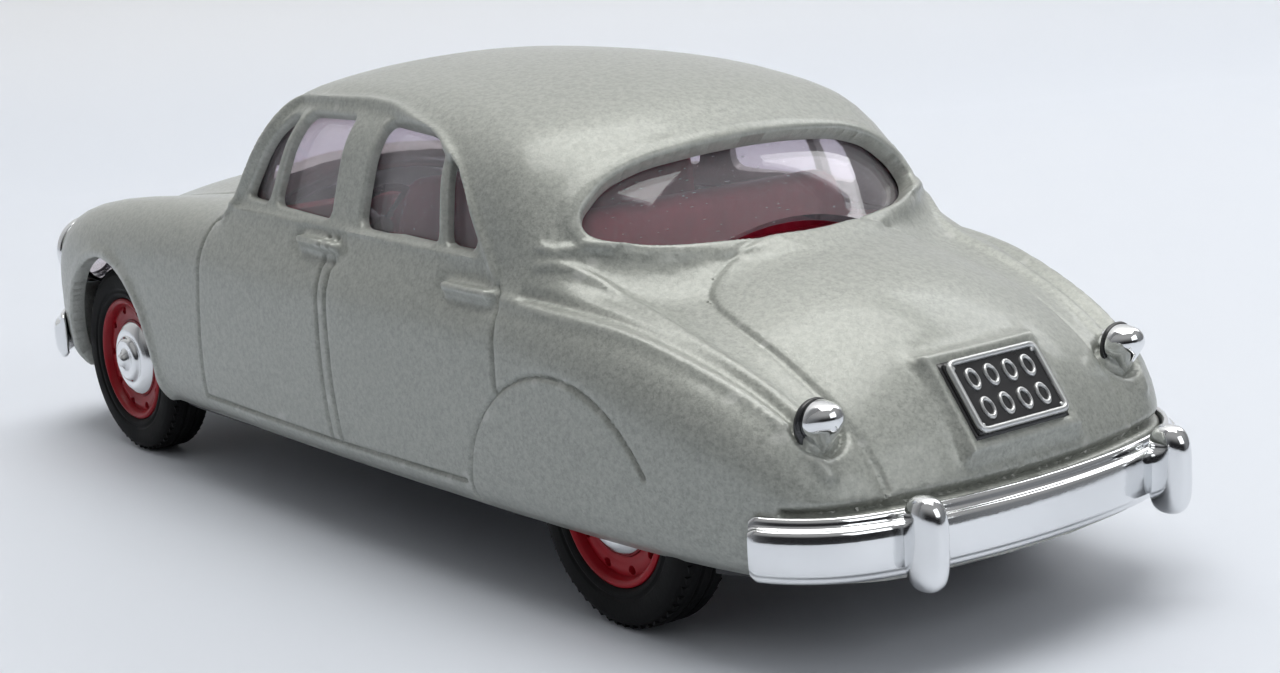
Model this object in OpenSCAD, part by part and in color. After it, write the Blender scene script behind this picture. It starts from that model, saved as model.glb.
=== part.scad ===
// Diecast collector car, 1:43, a compact four-door sports saloon.
// X points forward, Y to the car's left, Z up.
// The origin is on the ground under the middle of the car. All sizes in mm.

/* [Running gear] */
// front axle, ahead of the middle
front_axle_x = 35.4; // [31:0.1:36]
// rear axle, behind the middle (negative)
rear_axle_x = -30.6; // [-34:0.1:-29]
// tyre outer radius, also the axle height
tyre_radius = 7.8; // [7.5:0.05:8.6]
// tyre width
tyre_width = 3.8; // [3.4:0.1:4.8]
// outer tyre face from the middle, front
front_face_y = 17.1; // [16:0.1:17.6]
// outer tyre face from the middle, rear
rear_face_y = 16.9; // [16:0.1:17.4]
// radius of the wheel where the tyre sits
rim_radius = 5.1; // [4.8:0.05:5.8]
// hub cap radius
cap_radius = 3.2; // [2.6:0.05:3.4]
// axle pin radius
axle_radius = 0.75; // [0.6:0.05:1]
// radial gap between an axle and its carriers
axle_gap = 0.05; // [0.02:0.01:0.1]

/* [Body casting] */
// casting thickness
wall = 1.1; // [0.8:0.05:1.4]
// height of the lower rim
rim_z = 5.9; // [5.4:0.1:6.6]
// depth of the door and lid shut lines
groove_depth = 0.28; // [0.1:0.02:0.4]
// width of the shut lines
groove_width = 0.34; // [0.2:0.02:0.5]
// radius of the front wheel arch
arch_radius = 8.8; // [8.2:0.05:9]

/* [Base plate] */
// underside height
base_z = 5.3; // [5:0.1:5.8]
// plate thickness
base_thickness = 1.2; // [0.8:0.1:1.6]
// threaded hole for a display plinth screw, radius of the wall
plinth_hole_radius = 1.0; // [0.8:0.05:1.3]
// depth of that hole
plinth_hole_depth = 4.0; // [3:0.1:5]

/* [Glazing] */
// thickness of the clear moulding
glass_thickness = 0.8; // [0.5:0.05:1]
// gap between the moulding and the casting
glass_gap = 0.12; // [0.05:0.01:0.2]

/* [Trim] */
// height of the bumper blades' middle
bumper_z = 8.3; // [7.6:0.1:9]
// overrider position from the middle
overrider_y = 10.4; // [8:0.1:12]
// half width of a number plate
plate_half_width = 3.8; // [3.4:0.05:4.2]
// half height of a number plate
plate_half_height = 2.45; // [2:0.05:2.8]

/* [Hidden] */

// how far the fans of section rays at nose and tail sit from the middle
fan_x = 38;
// heights of the wheel centres
axle_z = tyre_radius;
// lid hinge line, waist and screw positions
front_post_x = 23;
rear_post_x = -40;
base_top = base_z + base_thickness;
pad_height = 0.6;

paint = [0.60, 0.62, 0.59];
red = [0.55, 0.05, 0.09];
black = [0.06, 0.06, 0.07];
bright = [0.85, 0.86, 0.88];
clear = [0.85, 0.83, 0.88, 0.35];

// ---- outline curves along the car: [x, value] ----

// half width at the widest point of each section
half_width = [[-54, 12.4], [-50, 14.7], [-45, 16.9], [-38, 18.4], [-28, 19.2], [-12, 19.6], [4, 19.6],
              [18, 19.3], [30, 19.0], [40, 18.3], [47, 17.3], [54, 16.0]];
// ridge of the wings
wing_top = [[-54, 6.5], [-50, 11.0], [-47, 13.8], [-43, 16.3], [-38, 18.3], [-32, 20.1], [-25, 21.4],
            [-15, 21.9], [0, 22.2], [12, 22.3], [22, 22.1], [32, 21.4], [40, 20.4], [46, 19.0],
            [50, 17.3], [54, 14.8]];
// bonnet and boot lid along the middle
deck_top = [[-54, 7.2], [-50, 12.6], [-48, 15.0], [-46, 16.9], [-44, 18.4], [-40, 20.5], [-35, 21.9],
            [-30, 22.7], [-24, 23.0], [0, 23.5], [12, 24.6], [16, 24.8], [22, 24.2], [30, 22.9],
            [38, 21.5], [44, 20.1], [48, 18.8], [54, 16.3]];
// roof along the middle
roof_top = [[-34, 22.4], [-30, 26.6], [-27, 28.9], [-24, 30.5], [-20, 31.8], [-15, 32.65], [-10, 33.1],
            [-5, 33.25], [0, 33.2], [5, 33.0], [9, 32.5], [12, 31.9], [16, 30.2], [18, 28.8]];

// ---- the body's shape, negative inside ----

function past(v) = v > 0 ? v * v : 0;
function smooth_max(a, b, k) = let (h = max(k - abs(a - b), 0)) max(a, b) + h * h / (4 * k);
function smooth_min(a, b, k) = -smooth_max(-a, -b, k);

function knot(x, c, i = 0) = (i >= len(c) - 2 || x < c[i + 1][0]) ? i : knot(x, c, i + 1);
function slope(c, i) =
    let (a = max(i - 1, 0), b = min(i + 1, len(c) - 1)) (c[b][1] - c[a][1]) / (c[b][0] - c[a][0]);
function curve(x0, c) =
    let (x = max(c[0][0], min(c[len(c) - 1][0], x0)),
         i = knot(x, c),
         h = c[i + 1][0] - c[i][0],
         t = (x - c[i][0]) / h)
    (1 + 2 * t) * pow(1 - t, 2) * c[i][1] + t * pow(1 - t, 2) * h * slope(c, i)
    + t * t * (3 - 2 * t) * c[i + 1][1] + t * t * (t - 1) * h * slope(c, i + 1);

// everything about one section that depends on x alone
function section(x) =
    [x, curve(x, half_width), curve(x, wing_top), curve(x, deck_top), curve(x, roof_top)];

function hull_shape(s, y, z) =
    let (side = y - (s[1] - 0.014 * past(13 - z) - 0.22 * past(8 - z) - 0.006 * past(z - 13)),
         wing = z - s[2] + 0.035 * pow(y - 14.6, 2),
         deck = z - s[3] + (s[0] < 0 ? 0.020 : 0.016) * y * y,
         tail = -s[0] - 51.0 + 0.010 * y * y + 0.012 * past(z - 8),
         nose = s[0] - 52.0 + 0.006 * y * y + 0.020 * pow(z - 10, 2))
    smooth_max(smooth_max(smooth_max(side, smooth_min(wing, deck, 1.2), 4), tail, 4), nose, 5);

function cabin_shape(s, y, z) =
    let (width = 17.65 - 0.20 * max(z - 23, 0) - 0.4 * max(21 - z, 0) - 0.010 * past(z - 23)
                 - 0.003 * past(-10 - s[0]) - 0.0015 * past(s[0] - 6),
         roof = z - s[4] + (0.0088 - 0.00012 * s[0]) * y * y,
         back = -0.8 * (s[0] + 32.2 - 0.72 * (z - 22) - 0.022 * y * y),
         front = 0.82 * (s[0] - 18.8 + 0.62 * (z - 22.3) + 0.012 * y * y))
    smooth_max(smooth_max(smooth_max(0.96 * (y - width), roof, 3.5), back, 3), front, 2.5);

function body_shape(s, y, z) =
    let (a = sqrt(y * y + 0.01)) smooth_min(hull_shape(s, a, z), cabin_shape(s, a, z), 1.8);

// distance along the ray at angles (turn, tilt) from the middle of the floor at x
function reach(s, x, turn, tilt, near = 4, far = 56, n = 13) =
    let (m = (near + far) / 2,
         here = turn == 0 ? s : section(x + m * sin(turn)),
         inside = body_shape(here, m * cos(turn) * cos(tilt), rim_z + m * cos(turn) * sin(tilt)) < 0)
    n == 0 ? m : reach(s, x, turn, tilt, inside ? m : near, inside ? far : m, n - 1);

// a ring of points over one section, pulled in by inset
function ring(x, turn, sides, inset) =
    let (s = section(x))
    [for (j = [0:sides]) let (tilt = 180 * j / sides, r = reach(s, x, turn, tilt) - inset)
        [x + r * sin(turn), r * cos(turn) * cos(tilt), rim_z + r * cos(turn) * sin(tilt)]];

function pole(x, turn, inset) =
    let (r = reach(section(x), x, turn, 0) - inset) [x + r * sin(turn), 0, rim_z];

// the whole body as a closed solid, pulled in by inset
module body_solid(inset, steps, fans, sides) {
    rings = concat([for (k = [1:fans - 1]) ring(-fan_x, -90 + 90 * k / fans, sides, inset)],
                   [for (k = [0:steps]) ring(-fan_x + 2 * fan_x * k / steps, 0, sides, inset)],
                   [for (k = [1:fans - 1]) ring(fan_x, 90 * k / fans, sides, inset)]);
    m = sides + 1;
    n = len(rings);
    points = concat([pole(-fan_x, -90, inset)], [for (r = rings) each r], [pole(fan_x, 90, inset)]);
    last = len(points) - 1;
    function at(i, j) = 1 + i * m + j;
    faces = concat(
        [for (j = [0:sides - 1]) [0, at(0, j), at(0, j + 1)]],
        [for (i = [0:n - 2]) for (j = [0:sides - 1]) [at(i, j), at(i + 1, j), at(i + 1, j + 1)]],
        [for (i = [0:n - 2]) for (j = [0:sides - 1]) [at(i, j), at(i + 1, j + 1), at(i, j + 1)]],
        [for (j = [0:sides - 1]) [last, at(n - 1, j + 1), at(n - 1, j)]],
        [[0, at(0, sides), at(0, 0)], [last, at(n - 1, 0), at(n - 1, sides)]],
        [for (i = [0:n - 2]) [at(i, 0), at(i, sides), at(i + 1, sides)]],
        [for (i = [0:n - 2]) [at(i, 0), at(i + 1, sides), at(i + 1, 0)]]);
    polyhedron(points, faces);
}

module body_outside(inset = 0) body_solid(inset, 38, 6, 32);
module body_inside(inset) body_solid(inset, 22, 4, 18);

// turns a body made of surfaces into one mesh
module as_mesh() resize([0, 0, 0]) children();

// ---- window openings ----

module side_window_front() polygon([[12.4, 23.7], [-0.5, 23.3], [-0.8, 30.3], [7.9, 30.3], [9.2, 29]]);

module side_window_rear()
    polygon([[-4.3, 23.2], [-17.6, 22.9], [-18.6, 23.6], [-17.6, 26], [-15.6, 28.1], [-12, 29.6],
             [-4.8, 30.2]]);

module side_openings() {
    for (side = [-1, 1]) translate([0, side * 15.5, 0]) rotate([90, 0, 0])
        linear_extrude(8, center = true) {
            rounded(0.7) side_window_front();
            rounded(0.7) side_window_rear();
        }
}

module rounded(r) offset(r) offset(-r) children();

module mirrored() {
    children();
    mirror([1, 0]) children();
}

// seen from behind, across then up
module rear_window() rounded(0.9) mirrored()
    polygon([[0, 22.9], [10, 23.15], [13.2, 23.6], [14, 24.4], [13.2, 25.9], [11.3, 27.3],
             [8.5, 28.2], [0, 28.8]]);

module windscreen() rounded(1.2) mirrored()
    polygon([[0, 25.6], [13.6, 24.9], [14.6, 25.6], [12.6, 29.4], [11.4, 30.2], [0, 31]]);

module across(x, length) translate([x, 0, 0]) rotate([90, 0, 90]) linear_extrude(length) children();

// ---- body casting ----

module shut_lines() {
    for (side = [-1, 1]) {
        for (line = [[[18, 7.8], [16.9, 21.8]], [[-0.9, 7.8], [-1.6, 21.9]], [[-2.1, 7.8], [-2.9, 21.9]],
                     [[-22.3, 14.4], [-22.3, 20.9]], [[-18.4, 7.8], [18, 7.8]]])
            side_line(line[0], line[1], side);
        spat_line(side);
    }
    lid_line();
}

module side_line(a, b, side) translate([0, side * 18, 0]) rotate([90, 0, 0])
    linear_extrude(8, center = true) hull() {
        translate(a) circle(d = groove_width, $fn = 4);
        translate(b) circle(d = groove_width, $fn = 4);
    }

// edge of the panel over the rear wheel
module spat_line(side) translate([-28.4, side * 18, 5.9]) rotate([90, 0, 0])
    linear_extrude(8, center = true) difference() {
        scale([1, 1.07]) circle(9.6, $fn = 48);
        scale([1, 1.07]) circle(9.6 - groove_width, $fn = 48);
        translate([-12, -12]) square([24, 12.4]);
    }

// edge of the boot lid, seen from above
module lid_line() translate([0, 0, 12]) linear_extrude(20) difference() {
    rounded(2.4) translate([-56, -10.6]) square([23, 21.2]);
    rounded(2.2) translate([-56.5, -10.6 + groove_width]) square([23.5 - groove_width, 21.2 - 2 * groove_width]);
}

module handle(x, z, side) translate([x, side * 18.3, z]) hull() {
    sphere(0.42, $fn = 10);
    translate([-4.3, 0, -0.1]) sphere(0.42, $fn = 10);
}

module plate_frame() translate([-48.2, 0, 14.85]) rotate([0, 52, 180]) children();

module nose_frame(y, z) translate([52.4 - 0.006 * y * y - 0.02 * pow(z - 10, 2), y, z]) children();

module body_shell() color(paint) as_mesh() difference() {
    union() {
        difference() {
            body_outside();
            translate([0, 0, -0.02]) body_inside(wall);
            difference() {
                shut_lines();
                body_outside(groove_depth);
            }
        }
        for (side = [-1, 1]) {
            handle(2.0, 21.5, side);
            handle(-16.8, 20.4, side);
        }
        intersection() {
            plate_frame() translate([-4.6, -3.2, -3]) cube([9.2, 6.4, 3.0]);
            body_inside(-1.4);
            translate([-60, -10, 9]) cube([30, 20, 12]);
        }
        intersection() {
            union() {
                translate([front_post_x, 0, base_top]) cylinder(r = 2.1, h = 17, $fn = 24);
                translate([rear_post_x, 0, base_top]) cylinder(r = 2.1, h = 13, $fn = 24);
            }
            translate([0, 0, 0.4]) body_inside(wall * 0.6);
        }
    }
    side_openings();
    across(-36, 20) rear_window();
    across(4, 20) windscreen();
    for (side = [-1, 1]) {
        translate([front_axle_x, side * 14, axle_z]) rotate([90, 0, 0])
            cylinder(r = arch_radius, h = 15, center = true, $fn = 48);
        translate([rear_axle_x, side * 13.9, axle_z]) rotate([90, 0, 0])
            cylinder(r = 9.2, h = 6, center = true, $fn = 48);
        // clearance for the raised middle of the rear hub cap
        for (step = [[1.75, 0.35], [0.95, 0.85]])
            translate([rear_axle_x, side * (rear_face_y - 0.3), axle_z]) rotate([-90 * side, 0, 0])
                cylinder(r = step[0], h = step[1] + 0.3, $fn = 32);
        translate([43, side * 13, 15]) rotate([0, 90, 0]) cylinder(r = 2.5, h = 14, $fn = 32);
        translate([-50, side * 12.8, 15.1]) rotate([0, 90, 0]) cylinder(r = 0.6, h = 8, $fn = 16);
        translate([43, side * 7.4, 12.3]) rotate([0, 90, 0]) cylinder(r = 0.7, h = 14, $fn = 16);
    }
    across(45, 10) translate([0, 13.2]) scale([1, 1.02]) circle(4.2, $fn = 40);
    for (x = [front_post_x, rear_post_x])
        translate([x, 0, base_top - 0.1]) cylinder(r = 0.75, h = 6, $fn = 16);
}

// ---- base plate ----

module base_outline() difference() {
    offset(2) offset(-2.6)
        polygon([[-48.6, 9], [-46, 13], [-40, 16.2], [-20, 17.1], [24, 17.1], [40, 15.8], [46, 13.5], [49, 8],
                 [49, -8], [46, -13.5], [40, -15.8], [24, -17.1], [-20, -17.1], [-40, -16.2], [-46, -13],
                 [-48.6, -9]]);
    for (side = [-1, 1]) {
        translate([front_axle_x - 8.9, side > 0 ? 10.9 : -20.9]) square([17.8, 10]);
        translate([rear_axle_x - 8.9, side > 0 ? 10.3 : -20.3]) square([17.8, 10]);
    }
}

module axle_carriers(x) for (y = [-9.4, 6.4]) translate([x - 2, y, base_z]) cube([4, 3, 4.6]);

module base_plate() color(black) difference() {
    union() {
        translate([0, 0, base_z]) linear_extrude(base_thickness) base_outline();
        axle_carriers(front_axle_x);
        axle_carriers(rear_axle_x);
        // sump, gearbox and propeller shaft
        translate([24, -3.5, base_z - 0.7]) cube([14, 7, 0.8]);
        translate([9, -1.9, base_z - 0.5]) cube([12, 3.8, 0.6]);
        translate([-25, -0.8, base_z - 0.35]) cube([22, 1.6, 0.4]);
        // silencer and exhaust pipe
        translate([-20, 9, base_z - 0.5]) rotate([0, 90, 0]) cylinder(r = 1.5, h = 14, $fn = 24);
        translate([-46, 9.0, base_z + 0.1]) rotate([0, 90, 0]) cylinder(r = 0.6, h = 66, $fn = 16);
        // boss for the plinth screw, with its pad below the base
        translate([0, 0, base_z - pad_height]) cylinder(r = 2.8, h = pad_height + plinth_hole_depth + 0.8, $fn = 32);
    }
    for (x = [front_axle_x, rear_axle_x])
        translate([x, 0, axle_z]) rotate([90, 0, 0])
            cylinder(r = axle_radius + axle_gap, h = 40, center = true, $fn = 32);
    for (x = [front_post_x, rear_post_x]) translate([x, 0, base_z - 2]) {
        cylinder(r = 0.95, h = 6, $fn = 24);
        cylinder(r = 1.75, h = 2.6, $fn = 24);
    }
    translate([0, 0, base_z - pad_height - 0.01])
        cylinder(r = plinth_hole_radius, h = pad_height + plinth_hole_depth + 0.01, $fn = 32);
}

module base_screw(x) color(bright) translate([x, 0, base_z + 0.6]) difference() {
    union() {
        translate([0, 0, -0.9]) cylinder(r = 1.6, h = 0.9, $fn = 32);
        cylinder(r = 0.75, h = 5.6, $fn = 24);
    }
    translate([-2, -0.2, -1]) cube([4, 0.4, 0.5]);
}

module base_screw_front() base_screw(front_post_x);
module base_screw_rear() base_screw(rear_post_x);

// ---- cabin ----

// a cushion with round corners between two opposite corners
module cushion(a, b, r) hull()
    for (x = [a[0] + r, b[0] - r], y = [a[1] + r, b[1] - r], z = [a[2] + r, b[2] - r])
        translate([x, y, z]) sphere(r, $fn = 10);

module seat_back(x, y0, y1, z1) hull() {
    for (y = [y0 + 1.6, y1 - 1.6]) {
        translate([x + 2, y, 12]) sphere(1.5, $fn = 10);
        translate([x + 0.6, y, z1 - 4]) sphere(1.3, $fn = 10);
    }
    for (y = [y0 + 3.6, y1 - 3.6]) translate([x, y, z1 - 1.2]) sphere(1.2, $fn = 10);
}

module interior_tub() color(red) as_mesh() difference() {
    union() {
        difference() {
            translate([-25.5, -14.6, base_top]) cube([41, 29.2, 14.6]);
            translate([-24.5, -13.8, base_top + 0.9]) cube([39, 27.6, 20]);
        }
        // tunnel over the propeller shaft
        translate([-24.8, -2.2, base_top + 0.5]) cube([39.5, 4.4, 4.2]);
        for (y = [-12.9, 1.4]) {
            cushion([-2, y, 8], [7, y + 11.5, 13.6], 1.2);
            seat_back(-3.4, y, y + 11.5, 25.6);
        }
        cushion([-19.5, -13.4, 8], [-11, 13.4, 13.8], 1.4);
        seat_back(-22.6, -13.4, 13.4, 24.6);
        translate([-28.6, -13, 20.3]) cube([6.4, 26, 0.8]);
    }
    // room for the plinth boss
    translate([0, 0, base_top - 1]) cylinder(r = 3.1, h = 5, $fn = 32);
    // room for the rear tyres
    for (side = [-1, 1]) translate([rear_axle_x, side * 14.4, axle_z]) rotate([90, 0, 0])
        cylinder(r = 8.9, h = 7, center = true, $fn = 48);
}

module dashboard() color(red) difference() {
    union() {
        translate([11.6, -13.6, 18.4]) cube([2.2, 27.2, 3.8]);
        translate([11.2, -4.6, 18.9]) cube([0.6, 9.2, 2.8]);
    }
    for (y = [-3, 0, 3]) translate([11, y, 20.3]) rotate([0, 90, 0]) cylinder(r = 0.9, h = 0.5, $fn = 24);
    translate([10, 7, 19.6]) rotate([0, 65, 0]) cylinder(r = 0.5, h = 6, $fn = 20);
}

module steering_wheel() color(black) translate([9.2, 7, 20.2]) rotate([0, 65, 0]) union() {
    rotate_extrude($fn = 48) translate([3.3, 0]) circle(0.32, $fn = 16);
    for (a = [0, 120, 240]) rotate([0, 0, a + 90]) translate([0, -0.25, -0.15]) cube([3.2, 0.5, 0.3]);
    translate([0, 0, -0.4]) cylinder(r = 0.8, h = 0.8, $fn = 24);
    cylinder(r = 0.45, h = 4.4, $fn = 20);
}

// ---- glazing ----

module window_unit() color(clear) as_mesh() difference() {
    body_inside(wall + glass_gap);
    body_inside(wall + glass_gap + glass_thickness);
    translate([-60, -30, 0]) cube([120, 60, 21.6]);
    translate([19.4, -30, 0]) cube([60, 60, 60]);
    translate([-90.5, -30, 0]) cube([60, 60, 60]);
}

// ---- nose ----

module grille() color(bright) translate([50.4, 0, 13.2]) rotate([90, 0, 90]) difference() {
    grille_front();
    // room for the bumper
    translate([-6, -6, 1.1]) cube([12, 3.7, 2]);
}

module grille_front() union() {
    linear_extrude(1.8) difference() {
        scale([1, 1.02]) circle(4.15, $fn = 48);
        scale([1, 1.02]) circle(3.45, $fn = 48);
    }
    linear_extrude(0.5) scale([1, 1.02]) circle(3.6, $fn = 48);
    for (k = [-4:4]) translate([0.76 * k - 0.16, -sqrt(12.4 - pow(0.76 * k, 2)), 0.4])
        cube([0.32, 2 * sqrt(12.4 - pow(0.76 * k, 2)), k == 0 ? 1.2 : 0.9]);
}

module headlamp_bezel(side) color(bright) translate([48.9, side * 13, 15]) rotate([0, 90, 0])
    rotate_extrude($fn = 48)
        polygon([[2.2, -3], [2.5, -3], [2.5, 0.2], [2.95, 0.3], [3.0, 0.9], [2.7, 1.5], [2.2, 1.6]]);

module headlamp_bezel_left() headlamp_bezel(1);
module headlamp_bezel_right() headlamp_bezel(-1);

module headlamp_lens(side) color(clear) translate([48.9, side * 13, 15]) rotate([0, 90, 0])
    rotate_extrude($fn = 48)
        polygon([[0, 0], [2.2, 0], [2.2, 1.5], [1.6, 1.9], [0.9, 2.15], [0, 2.25]]);

module headlamp_lens_left() headlamp_lens(1);
module headlamp_lens_right() headlamp_lens(-1);

module fog_lamp(side) color(bright) translate([50.4, side * 7.4, 12.3]) rotate([0, 90, 0])
    rotate_extrude($fn = 40)
        polygon([[0, -3], [0.7, -3], [0.7, 0.4], [1.2, 1.0], [1.4, 1.5], [1.25, 1.8], [0.7, 2.05], [0, 2.1]]);

module fog_lamp_left() fog_lamp(1);
module fog_lamp_right() fog_lamp(-1);

// ---- bumpers ----

// half section of a blade: [out from the body, height above the middle]
blade = [[0.1, -1.6], [0.9, -1.95], [1.35, -1.45], [1.5, 0.75], [1.3, 1.3], [0.85, 1.5], [0.75, 1.85], [0.1, 2.0]];

function blade_ring(end, turn) =
    let (x = end * 30,
         r = reach(section(x), x, end * min(turn, 180 - turn), 8))
    [for (p = blade)
        [x + (r * cos(8) + p[0]) * sin(end * turn), (r * cos(8) + p[0]) * cos(turn) * end, bumper_z + p[1]]];

module blade_sweep(end) {
    // the blade starts a little further round at the front, ahead of the wheel arch
    first = end < 0 ? 40 : 43;
    turns = [for (k = [0:26]) first + 2 * (90 - first) * k / 26];
    rings = [for (t = turns) blade_ring(end, t)];
    m = len(blade);
    n = len(rings);
    polyhedron([for (r = rings) each r],
        concat([[for (j = [0:m - 1]) j]], [[for (j = [m - 1:-1:0]) (n - 1) * m + j]],
               [for (i = [0:n - 2]) for (j = [0:m - 1])
                   [i * m + j, (i + 1) * m + j, i * m + (j + 1) % m]],
               [for (i = [0:n - 2]) for (j = [0:m - 1])
                   [(i + 1) * m + j, (i + 1) * m + (j + 1) % m, i * m + (j + 1) % m]]));
}

module overrider(x, side) translate([x, side * overrider_y, bumper_z]) hull() {
    translate([0, 0, 2.0]) scale([1.1, 1.2, 1]) sphere(0.95, $fn = 16);
    translate([0, 0, -1.9]) scale([1.1, 1.2, 1]) sphere(0.85, $fn = 16);
    translate([x > 0 ? 0.5 : -0.5, 0, 0]) scale([1, 1.15, 1]) sphere(1.05, $fn = 16);
}

module rear_bumper() color(bright) as_mesh() union() {
    blade_sweep(-1);
    for (side = [-1, 1]) overrider(-52.0, side);
}

module front_bumper() color(bright) as_mesh() union() {
    blade_sweep(1);
    for (side = [-1, 1]) overrider(52.0, side);
}

// ---- plates and lamps ----

module zero(x, y) translate([x, y, 0]) linear_extrude(0.26) difference() {
    scale([0.72, 1]) circle(0.72, $fn = 24);
    scale([0.60, 1]) circle(0.42, $fn = 24);
}

module number_plate() union() {
    difference() {
        translate([-plate_half_height, -plate_half_width, 0])
            cube([2 * plate_half_height, 2 * plate_half_width, 0.8]);
        translate([0.35 - plate_half_height, 0.35 - plate_half_width, 0.52])
            cube([2 * plate_half_height - 0.7, 2 * plate_half_width - 0.7, 1]);
    }
    for (k = [-1.5:1.5]) translate([0, 0, 0.5]) rotate([0, 0, 90]) {
        zero(1.55 * k, 0.98);
        zero(1.55 * k, -0.98);
    }
}

module number_plate_rear() color(black) plate_frame() translate([0, 0, 0.02]) number_plate();

module number_plate_front() color(black) translate([51.3, 0, 8.3]) rotate([0, 90, 0])
    scale([0.62, 0.9, 1]) translate([0, 0, 0.9]) number_plate();

module tail_lamp(side) color(bright) translate([-46.6, side * 12.8, 15.1]) union() {
    hull() {
        sphere(1.35, $fn = 20);
        translate([-1.1, 0, -1.2]) sphere(0.45, $fn = 14);
        translate([-1.1, 0, 0.1]) sphere(0.9, $fn = 14);
    }
    rotate([0, 90, 0]) cylinder(r = 0.6, h = 3, $fn = 24);
}

module tail_lamp_left() tail_lamp(1);
module tail_lamp_right() tail_lamp(-1);

// ---- wheels, drawn about their own axis with the outside at z = 0 ----

module at_wheel(x, face, side) translate([x, side * face, axle_z]) rotate([-90 * side, 0, 0]) children();

module tyre(x, face, side) color(black) at_wheel(x, face, side) difference() {
    rotate_extrude($fn = 96)
        polygon([[rim_radius, -0.35], [6.1, -0.05], [6.9, -0.1], [7.5, -0.4], [tyre_radius - 0.03, -0.75],
                 [tyre_radius, 0.5 - tyre_width], [7.35, -tyre_width], [6.0, -tyre_width],
                 [rim_radius, 0.3 - tyre_width]]);
    for (depth = [-1.65, -2.45]) rotate_extrude($fn = 96)
        translate([tyre_radius - 0.2, depth]) square([0.6, 0.3]);
}

module wheel(x, face, side) color(red) at_wheel(x, face, side) difference() {
    rotate_extrude($fn = 64)
        polygon([[axle_radius, -3.9], [2.2, -3.9], [2.2, -2.2], [4.4, -2.2], [4.6, 0.3 - tyre_width],
                 [rim_radius, 0.3 - tyre_width], [rim_radius, -0.3], [rim_radius - 0.35, -0.15],
                 [rim_radius - 0.65, -0.55], [3.7, -0.85], [cap_radius + 0.02, -0.85],
                 [cap_radius + 0.02, -1.25], [axle_radius, -1.25]]);
    for (a = [0:36:324]) rotate([0, 0, a]) translate([4.1, 0, -1.6]) cylinder(r = 0.26, h = 2, $fn = 16);
}

module hub_cap(x, face, side) color(bright) at_wheel(x, face, side)
    rotate_extrude($fn = 64)
        polygon([[0, -1.22], [cap_radius, -1.22], [cap_radius, -0.75], [2.85, -0.4], [2.3, -0.15],
                 [1.75, -0.1], [1.6, 0.22], [0.75, 0.34], [0.6, 0.62], [0, 0.72]]);

module axle(x, face) color(bright) translate([x, 0, axle_z]) rotate([90, 0, 0])
    cylinder(r = axle_radius, h = 2 * (face - 1.3), center = true, $fn = 32);

module axle_front() axle(front_axle_x, front_face_y);
module axle_rear() axle(rear_axle_x, rear_face_y);
module tyre_front_left() tyre(front_axle_x, front_face_y, 1);
module tyre_front_right() tyre(front_axle_x, front_face_y, -1);
module tyre_rear_left() tyre(rear_axle_x, rear_face_y, 1);
module tyre_rear_right() tyre(rear_axle_x, rear_face_y, -1);
module wheel_front_left() wheel(front_axle_x, front_face_y, 1);
module wheel_front_right() wheel(front_axle_x, front_face_y, -1);
module wheel_rear_left() wheel(rear_axle_x, rear_face_y, 1);
module wheel_rear_right() wheel(rear_axle_x, rear_face_y, -1);
module hub_cap_front_left() hub_cap(front_axle_x, front_face_y, 1);
module hub_cap_front_right() hub_cap(front_axle_x, front_face_y, -1);
module hub_cap_rear_left() hub_cap(rear_axle_x, rear_face_y, 1);
module hub_cap_rear_right() hub_cap(rear_axle_x, rear_face_y, -1);

body_shell();
base_plate();
interior_tub();
dashboard();
steering_wheel();
window_unit();
grille();
headlamp_bezel_left();
headlamp_bezel_right();
headlamp_lens_left();
headlamp_lens_right();
fog_lamp_left();
fog_lamp_right();
front_bumper();
rear_bumper();
number_plate_front();
number_plate_rear();
tail_lamp_left();
tail_lamp_right();
axle_front();
axle_rear();
base_screw_front();
base_screw_rear();
tyre_front_left();
tyre_front_right();
tyre_rear_left();
tyre_rear_right();
wheel_front_left();
wheel_front_right();
wheel_rear_left();
wheel_rear_right();
hub_cap_front_left();
hub_cap_front_right();
hub_cap_rear_left();
hub_cap_rear_right();
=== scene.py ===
import math
import bmesh
import bpy
import numpy as np
from mathutils import Matrix, Vector
from mathutils.kdtree import KDTree


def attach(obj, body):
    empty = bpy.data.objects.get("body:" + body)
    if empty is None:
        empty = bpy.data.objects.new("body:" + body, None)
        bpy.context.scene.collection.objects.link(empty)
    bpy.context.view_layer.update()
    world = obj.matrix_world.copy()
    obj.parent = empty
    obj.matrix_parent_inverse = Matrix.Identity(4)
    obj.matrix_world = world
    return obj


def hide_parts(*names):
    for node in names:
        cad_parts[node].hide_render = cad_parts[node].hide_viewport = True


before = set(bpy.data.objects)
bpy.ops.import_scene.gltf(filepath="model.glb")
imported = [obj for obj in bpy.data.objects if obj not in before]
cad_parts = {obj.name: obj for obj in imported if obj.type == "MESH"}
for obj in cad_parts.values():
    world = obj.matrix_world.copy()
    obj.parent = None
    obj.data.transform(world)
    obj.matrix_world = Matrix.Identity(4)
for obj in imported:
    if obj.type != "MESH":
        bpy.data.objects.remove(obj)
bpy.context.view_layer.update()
mm = 0.001
scene = bpy.context.scene

# ---- camera ----

cameraSetup = {
    "place": (-146.86, 101.50, 49.48),  # mm
    "lookAt": (-12.66, -0.035, 13.316),
    "roll": -3.223,  # degrees
    "lens": 67.9,
}


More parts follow.
